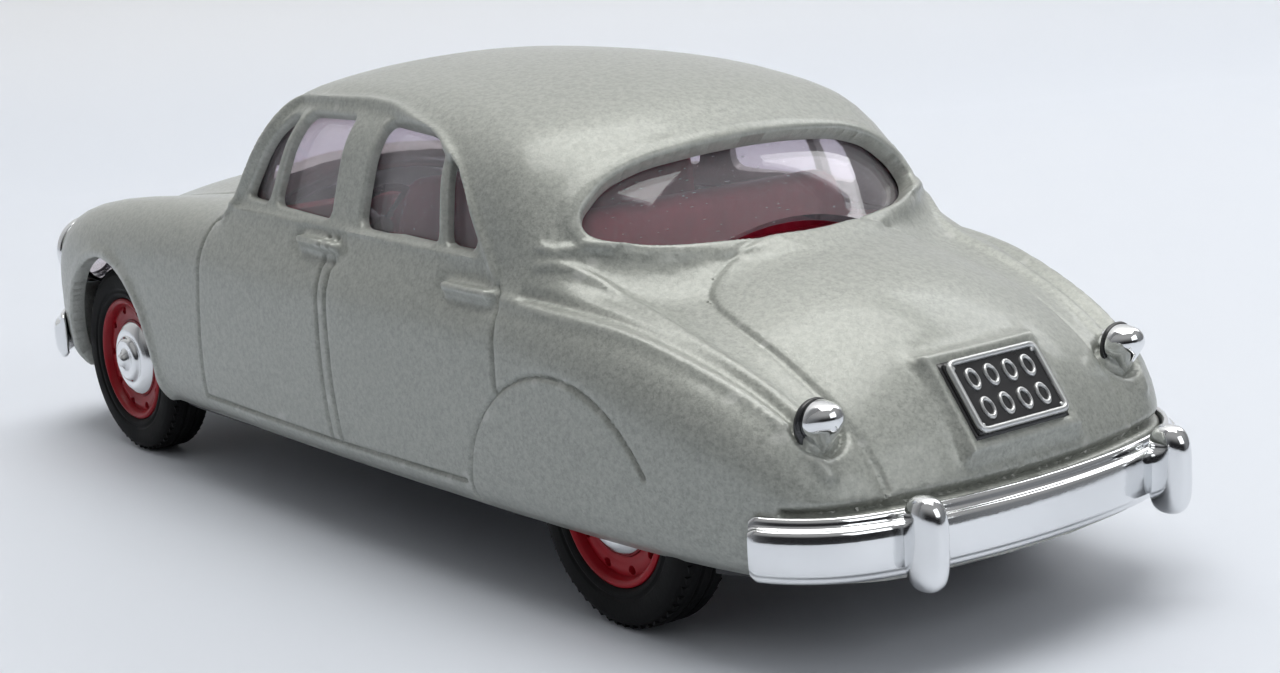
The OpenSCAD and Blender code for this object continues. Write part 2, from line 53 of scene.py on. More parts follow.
def makeCamera(setup):
    data = bpy.data.cameras.new("camera")
    data.lens = setup["lens"]
    data.sensor_width = 36
    data.clip_start = 0.005
    data.clip_end = 20
    cam = bpy.data.objects.new("camera", data)
    scene.collection.objects.link(cam)
    place = Vector(setup["place"]) * mm
    toward = Vector(setup["lookAt"]) * mm - place
    turn = toward.to_track_quat("-Z", "Y").to_matrix().to_4x4()
    cam.matrix_world = Matrix.Translation(place) @ turn @ Matrix.Rotation(math.radians(setup["roll"]), 4, "Z")
    scene.camera = cam


makeCamera(cameraSetup)
print("camera set")

# ---- shader node groups ----


def newGroup(name, inputs, outputs):
    tree = bpy.data.node_groups.new(name, "ShaderNodeTree")
    for label, kind, value in inputs:
        socket = tree.interface.new_socket(name=label, in_out="INPUT", socket_type=kind)
        if value is not None:
            socket.default_value = value
    for label, kind in outputs:
        tree.interface.new_socket(name=label, in_out="OUTPUT", socket_type=kind)
    return tree, tree.nodes.new("NodeGroupInput"), tree.nodes.new("NodeGroupOutput")


def addNode(tree, kind, **settings):
    node = tree.nodes.new(kind)
    for key, value in settings.items():
        setattr(node, key, value)
    return node


def feed(tree, socket, value):
    # a constant or a link
    if isinstance(value, (int, float, tuple)):
        socket.default_value = value
    else:
        tree.links.new(value, socket)


def mathNode(tree, operation, first, second):
    node = addNode(tree, "ShaderNodeMath", operation=operation)
    feed(tree, node.inputs[0], first)
    feed(tree, node.inputs[1], second)
    return node.outputs[0]


def mixColors(tree, factor, a, b):
    node = addNode(tree, "ShaderNodeMix", data_type="RGBA")
    for index, value in ((0, factor), (6, a), (7, b)):
        feed(tree, node.inputs[index], value)
    return node.outputs[2]


def noiseNode(tree, vector, detail, scale=None):
    node = addNode(tree, "ShaderNodeTexNoise")
    node.inputs["Detail"].default_value = detail
    tree.links.new(vector, node.inputs["Vector"])
    if scale is not None:
        feed(tree, node.inputs["Scale"], scale)
    return node


def ramp(tree, value, low, high, outLow=0.0, outHigh=1.0):
    node = addNode(tree, "ShaderNodeMapRange", clamp=True, interpolation_type="SMOOTHSTEP")
    tree.links.new(value, node.inputs[0])
    for index, number in zip((1, 2, 3, 4), (low, high, outLow, outHigh)):
        node.inputs[index].default_value = number
    return node.outputs[0]


def makeGrainGroup():
    # fine even grain for moulded plastic and rubber
    tree, start, end = newGroup(
        "mouldedGrain",
        [("Scale", "NodeSocketFloat", 3000.0), ("Amount", "NodeSocketFloat", 1.0)],
        [("Height", "NodeSocketFloat"), ("Patches", "NodeSocketFloat")],
    )
    spot = addNode(tree, "ShaderNodeTexCoord").outputs["Object"]
    scale = start.outputs["Scale"]
    fine = noiseNode(tree, spot, 4, scale)
    broad = noiseNode(tree, spot, 2, mathNode(tree, "MULTIPLY", scale, 0.08))
    tree.links.new(mathNode(tree, "MULTIPLY", fine.outputs["Fac"], start.outputs["Amount"]), end.inputs["Height"])
    tree.links.new(ramp(tree, broad.outputs["Fac"], 0.35, 0.65), end.inputs["Patches"])
    return tree


def makeFlakeGroup():
    # metal flake in paint: cloudy light and dark patches with tiny bright specks
    tree, start, end = newGroup(
        "metalFlake",
        [("Scale", "NodeSocketFloat", 6000.0), ("Cloud Scale", "NodeSocketFloat", 900.0)],
        [("Speck", "NodeSocketFloat"), ("Cloud", "NodeSocketFloat"), ("Height", "NodeSocketFloat")],
    )
    spot = addNode(tree, "ShaderNodeTexCoord").outputs["Object"]
    cells = addNode(tree, "ShaderNodeTexVoronoi")
    tree.links.new(spot, cells.inputs["Vector"])
    tree.links.new(start.outputs["Scale"], cells.inputs["Scale"])
    gray = addNode(tree, "ShaderNodeSeparateColor")
    tree.links.new(cells.outputs["Color"], gray.inputs[0])
    cloud = noiseNode(tree, spot, 5, start.outputs["Cloud Scale"])
    cloud.inputs["Roughness"].default_value = 0.65
    tree.links.new(gray.outputs[0], end.inputs["Speck"])
    tree.links.new(ramp(tree, cloud.outputs["Fac"], 0.32, 0.68), end.inputs["Cloud"])
    tree.links.new(mathNode(tree, "ADD", gray.outputs[1], cloud.outputs["Fac"]), end.inputs["Height"])
    return tree


def makeEdgeHighlightDustGroup():
    # dust that lies on upward faces, and a painted highlight that lightens convex edges
    tree, start, end = newGroup(
        "edgeShineAndDust",
        [("Dust Scale", "NodeSocketFloat", 700.0)],
        [("EdgeHighlight", "NodeSocketFloat"), ("Dust", "NodeSocketFloat")],
    )
    geo = addNode(tree, "ShaderNodeNewGeometry")
    spot = addNode(tree, "ShaderNodeTexCoord").outputs["Object"]
    noise = noiseNode(tree, spot, 6, start.outputs["Dust Scale"])
    up = addNode(tree, "ShaderNodeSeparateXYZ")
    tree.links.new(geo.outputs["Normal"], up.inputs[0])
    lift, patches = ramp(tree, up.outputs[2], 0.2, 1.0), ramp(tree, noise.outputs["Fac"], 0.5, 0.8)
    tree.links.new(ramp(tree, geo.outputs["Pointiness"], 0.51, 0.58), end.inputs["EdgeHighlight"])
    tree.links.new(mathNode(tree, "MULTIPLY", lift, patches), end.inputs["Dust"])
    return tree


grainGroup = makeGrainGroup()
flakeGroup = makeFlakeGroup()
edgeHighlightDustGroup = makeEdgeHighlightDustGroup()


def newMaterial(name, **sockets):
    mat = bpy.data.materials.new(name)
    mat.use_nodes = True
    tree = mat.node_tree
    shader = tree.nodes["Principled BSDF"]
    for label, value in sockets.items():
        shader.inputs[label.replace("_", " ")].default_value = value
    return mat, tree, shader


def useGroup(tree, group, **values):
    node = addNode(tree, "ShaderNodeGroup", node_tree=group)
    for label, value in values.items():
        node.inputs[label.replace("_", " ")].default_value = value
    return node


def bumpInto(tree, shader, height, distance, strength=1.0):
    bump = addNode(tree, "ShaderNodeBump")
    bump.inputs["Distance"].default_value = distance
    bump.inputs["Strength"].default_value = strength
    tree.links.new(height, bump.inputs["Height"])
    tree.links.new(bump.outputs[0], shader.inputs["Normal"])


paintLook = {
    "light": (0.445, 0.457, 0.42, 1),
    "dark": (0.28, 0.295, 0.268, 1),
    "flake": 7500.0,
    "cloud": 2600.0,
}


def makePaint(look):
    mat, tree, shader = newMaterial("silverPaint", Metallic=0.30, Coat_Weight=0.42, Coat_Roughness=0.12)
    flake = useGroup(tree, flakeGroup, Scale=look["flake"], Cloud_Scale=look["cloud"])
    edgeHighlightDust = useGroup(tree, edgeHighlightDustGroup, Dust_Scale=500.0)
    tone = mathNode(tree, "ADD", mathNode(tree, "MULTIPLY", flake.outputs["Speck"], 0.45),
                    mathNode(tree, "MULTIPLY", flake.outputs["Cloud"], 0.55))
    base = mixColors(tree, tone, look["dark"], look["light"])
    # convex edges mixed towards a lighter silver: a painted highlight
    base = mixColors(tree, mathNode(tree, "MULTIPLY", edgeHighlightDust.outputs["EdgeHighlight"], 0.35), base, (0.62, 0.63, 0.60, 1))
    tree.links.new(base, shader.inputs["Base Color"])
    tree.links.new(ramp(tree, flake.outputs["Speck"], 0, 1, 0.36, 0.52), shader.inputs["Roughness"])
    bumpInto(tree, shader, flake.outputs["Height"], 0.000014, 0.6)
    return mat


def makeChrome(name, rough=0.07, tint=(0.86, 0.87, 0.88, 1)):
    # vacuum plating over plastic: bright, with a faint orange peel and a few dull patches
    mat, tree, shader = newMaterial(name, Metallic=1.0)
    grain = useGroup(tree, grainGroup, Scale=1400.0, Amount=1.0)
    base = mixColors(tree, grain.outputs["Patches"], tint, tuple(c * 0.93 for c in tint[:3]) + (1,))
    tree.links.new(base, shader.inputs["Base Color"])
    tree.links.new(ramp(tree, grain.outputs["Patches"], 0, 1, rough, rough * 1.8), shader.inputs["Roughness"])
    bumpInto(tree, shader, grain.outputs["Height"], 0.00002, 0.35)
    return mat


def makePlastic(name, color, rough, grainScale=2500.0, coat=0.0, bump=0.00002, edge=0.25, shine=0.5):
    mat, tree, shader = newMaterial(name, Coat_Weight=coat, Coat_Roughness=0.2, Specular_IOR_Level=shine)
    grain = useGroup(tree, grainGroup, Scale=grainScale, Amount=1.0)
    edgeHighlightDust = useGroup(tree, edgeHighlightDustGroup, Dust_Scale=900.0)
    deep = tuple(c * 0.78 for c in color) + (1,)
    pale = tuple(min(1, c * 1.12 + 0.004) for c in color) + (1,)
    base = mixColors(tree, grain.outputs["Patches"], deep, pale)
    # convex edges mixed towards a lighter copy of the colour, by the edge amount: a painted highlight
    edgeHighlightTint = tuple(min(1, c * 1.6 + 0.012) for c in color) + (1,)
    base = mixColors(tree, mathNode(tree, "MULTIPLY", edgeHighlightDust.outputs["EdgeHighlight"], edge), base, edgeHighlightTint)
    base = mixColors(tree, mathNode(tree, "MULTIPLY", edgeHighlightDust.outputs["Dust"], 0.025), base, (0.5, 0.5, 0.5, 1))
    tree.links.new(base, shader.inputs["Base Color"])
    tree.links.new(ramp(tree, grain.outputs["Patches"], 0, 1, rough - 0.05, rough + 0.06), shader.inputs["Roughness"])
    bumpInto(tree, shader, grain.outputs["Height"], bump, 0.5)
    return mat


def makeGlass():
    # clear styrene moulding, faintly tinted, with hairline scratches
    mat, tree, shader = newMaterial("clearMoulding", Transmission_Weight=0.9, IOR=1.49, Metallic=0.0)
    grain = useGroup(tree, grainGroup, Scale=260.0, Amount=1.0)
    spot = addNode(tree, "ShaderNodeTexCoord")
    stretch = addNode(tree, "ShaderNodeMapping")
    stretch.inputs["Scale"].default_value = (900, 260, 2600)
    stretch.inputs["Rotation"].default_value = (0.3, 0.5, 0.9)
    tree.links.new(spot.outputs["Object"], stretch.inputs["Vector"])
    lines = noiseNode(tree, stretch.outputs[0], 1)
    scratch = ramp(tree, lines.outputs["Fac"], 0.74, 0.78)
    tree.links.new(mixColors(tree, scratch, (0.90, 0.85, 0.91, 1), (0.99, 0.99, 1, 1)), shader.inputs["Base Color"])
    rough = mathNode(tree, "ADD", ramp(tree, grain.outputs["Patches"], 0, 1, 0.015, 0.04),
                     mathNode(tree, "MULTIPLY", scratch, 0.3))
    tree.links.new(rough, shader.inputs["Roughness"])
    bumpInto(tree, shader, grain.outputs["Height"], 0.00003, 0.25)
    return mat


paint = makePaint(paintLook)
chrome = makeChrome("platedTrim")
hubChrome = makeChrome("platedCap", rough=0.09)
steel = makeChrome("drawnSteel", rough=0.28, tint=(0.62, 0.62, 0.63, 1))
redTrim = makePlastic("redInterior", (0.50, 0.020, 0.055), 0.45, 1800.0, coat=0.08, shine=0.3)
redWheel = makePlastic("redWheel", (0.34, 0.004, 0.012), 0.4, 1500.0, coat=0.1, edge=0.1, shine=0.25)
blackBase = makePlastic("blackBase", (0.022, 0.022, 0.024), 0.5, 2600.0)
rubber = makePlastic("tyreRubber", (0.004, 0.004, 0.0043), 0.62, 4200.0, bump=0.00004, edge=0.12, shine=0.14)
plateBlack = makePlastic("plateBlack", (0.016, 0.016, 0.018), 0.3, 2200.0, coat=0.3)
plateSilver = makeChrome("plateSilver", rough=0.22, tint=(0.72, 0.73, 0.73, 1))
glass = makeGlass()
print("materials built")

# ---- mesh helpers, all in millimetres ----


def outwardFaces(obj):
    mesh = bmesh.new()
    mesh.from_mesh(obj.data)
    bmesh.ops.remove_doubles(mesh, verts=mesh.verts, dist=0.00000004)
    bmesh.ops.recalc_face_normals(mesh, faces=mesh.faces)
    mesh.to_mesh(obj.data)
    mesh.free()


def makePiece(name, verts, faces, materials, body, marks=None, sharp=50, outward=True):
    data = bpy.data.meshes.new(name)
    data.from_pydata([tuple(v) for v in (np.asarray(verts, float) * mm)], [], [tuple(f) for f in faces])
    data.update()
    obj = bpy.data.objects.new(name, data)
    scene.collection.objects.link(obj)
    for mat in materials:
        data.materials.append(mat)
    if marks is not None:
        data.polygons.foreach_set("material_index", np.asarray(marks, dtype=np.int32))
    data.shade_smooth()
    data.set_sharp_from_angle(angle=math.radians(sharp))
    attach(obj, body)
    if outward:
        outwardFaces(obj)
    return obj


def joinMeshes(parts):
    verts, faces, marks = [], [], []
    for part in parts:
        v, f = part[0], part[1]
        mark = part[2] if len(part) > 2 else 0
        base = sum(len(a) for a in verts)
        verts.append(np.asarray(v, float))
        faces += [tuple(i + base for i in face) for face in f]
        marks += [mark] * len(f)
    return np.vstack(verts), faces, marks


def latheAround(profile, count=96, closedProfile=False):
    # profile of (radius, height) turned about Z
    verts, rings = [], []
    for radius, height in profile:
        if radius < 1e-6:
            rings.append([len(verts)] * count)
            verts.append((0, 0, height))
        else:
            rings.append(list(range(len(verts), len(verts) + count)))
            turns = [2 * math.pi * k / count for k in range(count)]
            verts += [(radius * math.cos(a), radius * math.sin(a), height) for a in turns]
    faces = []
    pairs = list(zip(rings[:-1], rings[1:]))
    if closedProfile:
        pairs.append((rings[-1], rings[0]))
    for lower, upper in pairs:
        for k in range(count):
            n = (k + 1) % count
            quad = [lower[k], lower[n], upper[n], upper[k]]
            face = [q for i, q in enumerate(quad) if q != quad[i - 1]]
            if len(face) > 2:
                faces.append(tuple(face))
    return np.array(verts, float), faces


def roundedProfile(points, radius=0.08, steps=3, closed=False):
    # softens the corners of a profile
    points = [np.array(p, float) for p in points]
    out = []
    count = len(points)
    for i, p in enumerate(points):
        if not closed and i in (0, count - 1):
            out.append(p)
            continue
        a, b = points[i - 1], points[(i + 1) % count]
        la, lb = np.linalg.norm(a - p), np.linalg.norm(b - p)
        r = min(radius, la * 0.45, lb * 0.45)
        start, finish = p + (a - p) / la * r, p + (b - p) / lb * r
        for k in range(steps + 1):
            t = k / steps
            out.append((1 - t) ** 2 * start + 2 * t * (1 - t) * p + t * t * finish)
    return [tuple(p) for p in out]


def turned(points, radius, count, steps=3, closed=False):
    # a rounded profile turned about Z
    return latheAround(roundedProfile(points, radius, steps, closed=closed), count, closed)


def sweptFaces(rings, around, loop=False, caps=False):
    # quads between rings of points, in a loop or open
    faces = []
    for i in range(rings if loop else rings - 1):
        a, b = i * around, (i + 1) % rings * around
        faces += [(a + j, a + (j + 1) % around, b + (j + 1) % around, b + j) for j in range(around)]
    if caps:
        faces += [tuple(range(around))[::-1], tuple(range((rings - 1) * around, rings * around))]
    return faces


def placed(verts, matrix):
    v = np.asarray(verts, float)
    m = np.array(matrix)
    return v @ m[:3, :3].T + m[:3, 3]


def wheelPlace(x, face, side, axleZ):
    # lathe axis Z becomes the outward direction of a wheel on that side
    turn = Matrix.Rotation(math.radians(-90 * side), 4, "X")
    return Matrix.Translation((x, side * face, axleZ)) @ turn


# ---- the body's shape as a rule, the same one the casting is designed to ----

shape = {
    "halfWidth": [(-54, 12.4), (-50, 14.7), (-45, 16.9), (-38, 18.4), (-28, 19.2), (-12, 19.6), (4, 19.6),
                  (18, 19.3), (30, 19.0), (40, 18.3), (47, 17.3), (54, 16.0)],
    "wingTop": [(-54, 6.5), (-50, 11.0), (-47, 13.8), (-43, 16.3), (-38, 18.3), (-32, 20.1), (-25, 21.4),
                (-15, 21.9), (0, 22.2), (12, 22.3), (22, 22.1), (32, 21.4), (40, 20.4), (46, 19.0),
                (50, 17.3), (54, 14.8)],
    "deckTop": [(-54, 7.2), (-50, 12.6), (-48, 15.0), (-46, 16.9), (-44, 18.4), (-40, 20.5), (-35, 21.9),
                (-30, 22.7), (-24, 23.0), (0, 23.5), (12, 24.6), (16, 24.8), (22, 24.2), (30, 22.9),
                (38, 21.5), (44, 20.1), (48, 18.8), (54, 16.3)],
    "roofTop": [(-34, 22.4), (-30, 26.6), (-27, 28.9), (-24, 30.5), (-20, 31.8), (-15, 32.65), (-10, 33.1),
                (-5, 33.25), (0, 33.2), (5, 33.0), (9, 32.5), (12, 31.9), (16, 30.2), (18, 28.8)],
    "rimZ": 5.9,
    "wall": 1.0,
    "fanX": 38.0,
}


def curveThrough(x, knots):
    k = np.asarray(knots, float)
    xs, vs = k[:, 0], k[:, 1]
    m = np.empty(len(xs))
    m[1:-1] = (vs[2:] - vs[:-2]) / (xs[2:] - xs[:-2])
    m[0] = (vs[1] - vs[0]) / (xs[1] - xs[0])
    m[-1] = (vs[-1] - vs[-2]) / (xs[-1] - xs[-2])
    x = np.clip(x, xs[0], xs[-1])
    i = np.clip(np.searchsorted(xs, x, side="right") - 1, 0, len(xs) - 2)
    h = xs[i + 1] - xs[i]
    t = (x - xs[i]) / h
    return ((1 + 2 * t) * (1 - t) ** 2 * vs[i] + t * (1 - t) ** 2 * h * m[i]
            + t * t * (3 - 2 * t) * vs[i + 1] + t * t * (t - 1) * h * m[i + 1])


def past(v):
    return np.maximum(v, 0) ** 2


def smoothMax(a, b, k):
    h = np.maximum(k - np.abs(a - b), 0)
    return np.maximum(a, b) + h * h / (4 * k)


def smoothMin(a, b, k):
    return -smoothMax(-a, -b, k)


def smoothStep(v, low, high):
    t = np.clip((v - low) / (high - low), 0, 1)
    return t * t * (3 - 2 * t)


def hullShape(x, y, z):
    side = y - (curveThrough(x, shape["halfWidth"]) - 0.014 * past(13 - z) - 0.22 * past(8 - z)
                - 0.006 * past(z - 13))
    wing = z - curveThrough(x, shape["wingTop"]) + 0.035 * (y - 14.6) ** 2
    deck = z - curveThrough(x, shape["deckTop"]) + np.where(x < 0, 0.020, 0.016) * y * y
    tail = -x - 51.0 + 0.010 * y * y + 0.012 * past(z - 8)
    nose = x - 52.0 + 0.006 * y * y + 0.020 * (z - 10) ** 2
    return smoothMax(smoothMax(smoothMax(side, smoothMin(wing, deck, 1.2), 4), tail, 4), nose, 5)


def cabinShape(x, y, z):
    width = (17.65 - 0.20 * np.maximum(z - 23, 0) - 0.4 * np.maximum(21 - z, 0) - 0.010 * past(z - 23)
             - 0.003 * past(-10 - x) - 0.0015 * past(x - 6))
    roof = z - curveThrough(x, shape["roofTop"]) + (0.0088 - 0.00012 * x) * y * y
    back = -0.8 * (x + 32.2 - 0.72 * (z - 22) - 0.022 * y * y)
    front = 0.82 * (x - 18.8 + 0.62 * (z - 22.3) + 0.012 * y * y)
    return smoothMax(smoothMax(smoothMax(0.96 * (y - width), roof, 3.5), back, 3), front, 2.5)


def bodyShape(p):
    x, z = p[:, 0], p[:, 2]
    y = np.sqrt(p[:, 1] ** 2 + 0.01)
    return smoothMin(hullShape(x, y, z), cabinShape(x, y, z), 1.8)


def normalsOf(p, rule=bodyShape, step=0.02):
    grad = np.stack([rule(p + d) - rule(p - d) for d in np.eye(3) * step], -1)
    return grad / np.linalg.norm(grad, axis=1, keepdims=True)


def castOut(start, direction, near=3.0, far=60.0):
    low = np.full(len(start), near)
    high = np.full(len(start), far)
    for _ in range(17):
        mid = (low + high) / 2
        inside = bodyShape(start + direction * mid[:, None]) < 0
        low = np.where(inside, mid, low)
        high = np.where(inside, high, mid)
    return start + direction * ((low + high) / 2)[:, None]


def firstHit(start, direction, length, steps=500):
    # from outside, the first place where a ray meets the body
    found = np.zeros(len(start), bool)
    at = np.full(len(start), length)
    for t in np.linspace(0, length, steps):
        new = (bodyShape(start + direction * t) < 0) & ~found
        at = np.where(new, t, at)
        found |= new
    low, high = at - length / (steps - 1), at
    for _ in range(14):
        mid = (low + high) / 2
        inside = bodyShape(start + direction * mid[:, None]) < 0
        high = np.where(inside, mid, high)
        low = np.where(inside, low, mid)
    return (start + direction * high[:, None])[found]


def fineLine(points, spacing=0.08, closed=False):
    points = [np.array(p, float) for p in points]
    if closed:
        points.append(points[0])
    out = []
    for a, b in zip(points[:-1], points[1:]):
        n = max(1, int(np.linalg.norm(b - a) / spacing))
        out += [a + (b - a) * k / n for k in range(n)]
    out.append(points[-1])
    return np.array(out)


def smoothLine(points):
    # corner cutting, ends kept
    pts = [np.array(p, float) for p in points]
    for _ in range(2):
        cut = [q for a, b in zip(pts[:-1], pts[1:]) for q in (a * 0.75 + b * 0.25, a * 0.25 + b * 0.75)]
        pts = [pts[0]] + cut + [pts[-1]]
    return pts


def seenFrom(line, axis, sign, far, length, closed=False):
    # a line drawn in the other two axes, thrown onto the body along one
    q = fineLine(line, closed=closed)
    start = np.insert(q, axis, far * sign, axis=1)
    way = np.zeros((len(q), 3))
    way[:, axis] = -sign
    return firstHit(start, way, length)


def onSide(line, side, closed=False):
    return seenFrom(line, 1, side, 24.0, 23.5, closed)


def onTail(line, closed=False):
    return seenFrom(line, 0, -1, 57.0, 50, closed)


def onTop(line):
    return seenFrom(line, 2, 1, 38.0, 32)


def outlineDistance(p2, outline):
    # signed distance to a closed 2D outline, negative inside
    a = np.asarray(outline, float)
    b = np.roll(a, -1, axis=0)
    best = np.full(len(p2), 1e9)
    inside = np.zeros(len(p2), bool)
    for (ax, ay), (bx, by) in zip(a, b):
        dx, dy = bx - ax, by - ay
        t = np.clip(((p2[:, 0] - ax) * dx + (p2[:, 1] - ay) * dy) / (dx * dx + dy * dy + 1e-12), 0, 1)
        best = np.minimum(best, np.hypot(p2[:, 0] - ax - t * dx, p2[:, 1] - ay - t * dy))
        crosses = ((ay > p2[:, 1]) != (by > p2[:, 1])) & (
            p2[:, 0] < dx * (p2[:, 1] - ay) / (dy if abs(dy) > 1e-12 else 1e-12) + ax)
        inside ^= crosses
    return np.where(inside, -best, best)


def nearestOn(points, line, reach):
    # distance from points to a line of closely spaced points
    low, high = line.min(0) - reach, line.max(0) + reach
    dist = np.full(len(points), 1e9)
    tree = KDTree(len(line))
    for i, p in enumerate(line):
        tree.insert(p, i)
    tree.balance()
    for i in np.where(((points > low) & (points < high)).all(1))[0]:
        dist[i] = tree.find(points[i])[2]
    return dist


# window and arch outlines: side ones as (x, z), end ones as (y, z)
openings = {
    "frontLight": [(12.0, 23.75), (8.4, 23.55), (6.7, 29.9), (7.9, 29.95), (9.4, 28.6)],
    "frontWindow": [(7.6, 23.5), (-0.5, 23.2), (-0.85, 30.4), (5.9, 30.25)],
    "rearWindow": [(-4.3, 23.1), (-14.3, 22.85), (-13.1, 29.0), (-10.5, 29.9), (-4.75, 30.3)],
    "rearLight": [(-15.1, 22.85), (-18.1, 22.8), (-18.5, 23.3), (-17.5, 25.9), (-15.8, 27.7), (-14.0, 28.6)],
    "backWindow": [(0, 22.9), (10, 23.15), (13.0, 23.55), (14.1, 24.2), (13.7, 25.4), (11.6, 27.1),
                   (8.5, 28.1), (4, 28.6), (0, 28.75), (-4, 28.6), (-8.5, 28.1), (-11.6, 27.1),
                   (-13.7, 25.4), (-14.1, 24.2), (-13.0, 23.55), (-10, 23.15)],
    "windscreen": [(0, 25.7), (8, 25.5), (13.3, 24.9), (14.3, 25.3), (13.9, 26.6), (12.7, 29.0), (11.4, 30.2),
                   (6, 30.8), (0, 31.0), (-6, 30.8), (-11.4, 30.2), (-12.7, 29.0), (-13.9, 26.6),
                   (-14.3, 25.3), (-13.3, 24.9), (-8, 25.5)],
}
for key, corner in (("frontLight", 0.8), ("frontWindow", 0.9), ("rearWindow", 0.9), ("rearLight", 0.7),
                    ("backWindow", 1.6), ("windscreen", 1.2)):
    openings[key] = np.array(roundedProfile(openings[key], corner, 5, closed=True))

wheels = {"frontX": 35.4, "rearX": -30.6, "axleZ": 7.8, "frontFace": 17.1, "rearFace": 16.9, "archRadius": 8.8}
tailLamp = {"place": (-46.6, 12.8, 15.1)}
plateSetup = {"place": (-48.2, 0, 14.85), "lean": 52.0, "halfWidth": 3.78, "halfHeight": 2.43}
plateLean = math.radians(plateSetup["lean"])
plateDown = np.array([-math.cos(plateLean), 0, -math.sin(plateLean)])
plateOut = np.array([-math.sin(plateLean), 0, math.cos(plateLean)])


def rayGrid(rowStep, fanCount, columnCount):
    rows = np.linspace(-shape["fanX"], shape["fanX"], int(2 * shape["fanX"] / rowStep) + 1)
    fans = 90 * np.arange(1, fanCount) / fanCount
    turns = np.radians(np.concatenate([fans - 90, np.zeros(len(rows)), fans]))
    starts = np.concatenate([np.full(len(fans), rows[0]), rows, np.full(len(fans), rows[-1])])
    tilts = np.radians(np.linspace(0, 180, columnCount))
    direction = np.stack([np.repeat(np.sin(turns), len(tilts)),
                          np.outer(np.cos(turns), np.cos(tilts)).ravel(),
                          np.outer(np.cos(turns), np.sin(tilts)).ravel()], -1)
    start = np.stack([np.repeat(starts, len(tilts)), np.zeros(len(direction)),
                      np.full(len(direction), shape["rimZ"])], -1)
    poles = np.array([[-1.0, 0, 0], [1.0, 0, 0]])
    poleStart = np.array([[rows[0], 0, shape["rimZ"]], [rows[-1], 0, shape["rimZ"]]])
    points = castOut(np.vstack([start, poleStart]), np.vstack([direction, poles]))
    n, m = len(turns), len(tilts)
    i, j = np.meshgrid(np.arange(n - 1), np.arange(m - 1), indexing="ij")
    a = (i * m + j).ravel()
    odd = ((i + j) % 2).ravel().astype(bool)
    b, c, d = a + m, a + m + 1, a + 1
    tris = np.vstack([np.stack([a, b, c], -1)[~odd], np.stack([a, c, d], -1)[~odd],
                      np.stack([a, b, d], -1)[odd], np.stack([b, c, d], -1)[odd]])
    tail = [(n * m, k, k + 1) for k in range(m - 1)]
    nose = [(n * m + 1, (n - 1) * m + k + 1, (n - 1) * m + k) for k in range(m - 1)]
    tris = np.vstack([tris, tail, nose])
    middle = points[tris].mean(1)
    flat = np.cross(points[tris[:, 1]] - points[tris[:, 0]], points[tris[:, 2]] - points[tris[:, 0]])
    wrong = (flat * normalsOf(middle)).sum(1) < 0
    tris[wrong] = tris[wrong][:, ::-1]
    return points, tris


def onBody(points):
    # back to the surface along its normal
    for _ in range(2):
        grad = np.stack([bodyShape(points + d) - bodyShape(points - d) for d in np.eye(3) * 0.02], -1) / 0.04
        points = points - grad * (bodyShape(points) / (grad ** 2).sum(1))[:, None]
    return points


def refine(points, tris, lines, base, passes):
    # splits the longest edges until they suit the lines nearby; lines are (points, edge size, band)
    tree = KDTree(sum(len(line[0]) for line in lines))
    sizes, bands = [], []
    for line, size, band in lines:
        for k, p in enumerate(line):
            tree.insert(p, len(sizes) + k)
        sizes += [size] * len(line)
        bands += [band] * len(line)
    tree.balance()
    smallest = min(sizes)
    for _ in range(passes):
        sides = np.sort(np.vstack([tris[:, [0, 1]], tris[:, [1, 2]], tris[:, [2, 0]]]), axis=1)
        keys = sides[:, 0].astype(np.int64) * (len(points) + 1) + sides[:, 1]
        unique, first, back = np.unique(keys, return_index=True, return_inverse=True)
        back = back.reshape(3, -1).T
        ends = sides[first]
        length = np.linalg.norm(points[ends[:, 0]] - points[ends[:, 1]], axis=1)
        middle = points[ends].mean(1)
        mark = np.zeros(len(unique), bool)
        for k in np.where(length > smallest * 1.5)[0]:
            _, near, distance = tree.find(middle[k])
            want = min(base, sizes[near] + max(0.0, distance - bands[near]) * 0.65)
            mark[k] = length[k] > 1.5 * want
        longest = np.take_along_axis(back, length[back].argmax(1)[:, None], 1)[:, 0]
        for _ in range(40):
            need = mark[back].any(1) & ~mark[longest]
            if not need.any():
                break
            mark[longest[need]] = True
        if not mark.any():
            break
        added = onBody(middle[mark])
        newIndex = np.full(len(unique), -1)
        newIndex[mark] = np.arange(mark.sum()) + len(points)
        onRim = (points[ends[mark], 2] < shape["rimZ"] + 1e-4).all(1)
        added[onRim, 2] = shape["rimZ"]
        points = np.vstack([points, added])
        out = []
        order = length[back].argmax(1)
        for turn in range(3):
            pick = order == turn
            t = np.roll(tris[pick], -turn, axis=1)
            e = np.roll(back[pick], -turn, axis=1)
            a, b, c = t.T
            ab, bc, ca = newIndex[e[:, 0]], newIndex[e[:, 1]], newIndex[e[:, 2]]
            none = ab < 0
            out.append(t[none])
            half = ~none & (bc < 0) & (ca < 0)
            right = ~none & (bc >= 0) & (ca < 0)
            left = ~none & (bc < 0) & (ca >= 0)
            full = ~none & (bc >= 0) & (ca >= 0)
            for pick, corners in (
                (half, ((a, ab, c), (ab, b, c))),
                (right, ((a, ab, c), (ab, b, bc), (ab, bc, c))),
                (left, ((ab, b, c), (a, ab, ca), (ab, c, ca))),
                (full, ((a, ab, ca), (ab, b, bc), (ab, bc, c), (ab, c, ca))),
            ):
                out += [np.stack(three, -1)[pick] for three in corners]
        tris = np.vstack(out)
    return points, tris


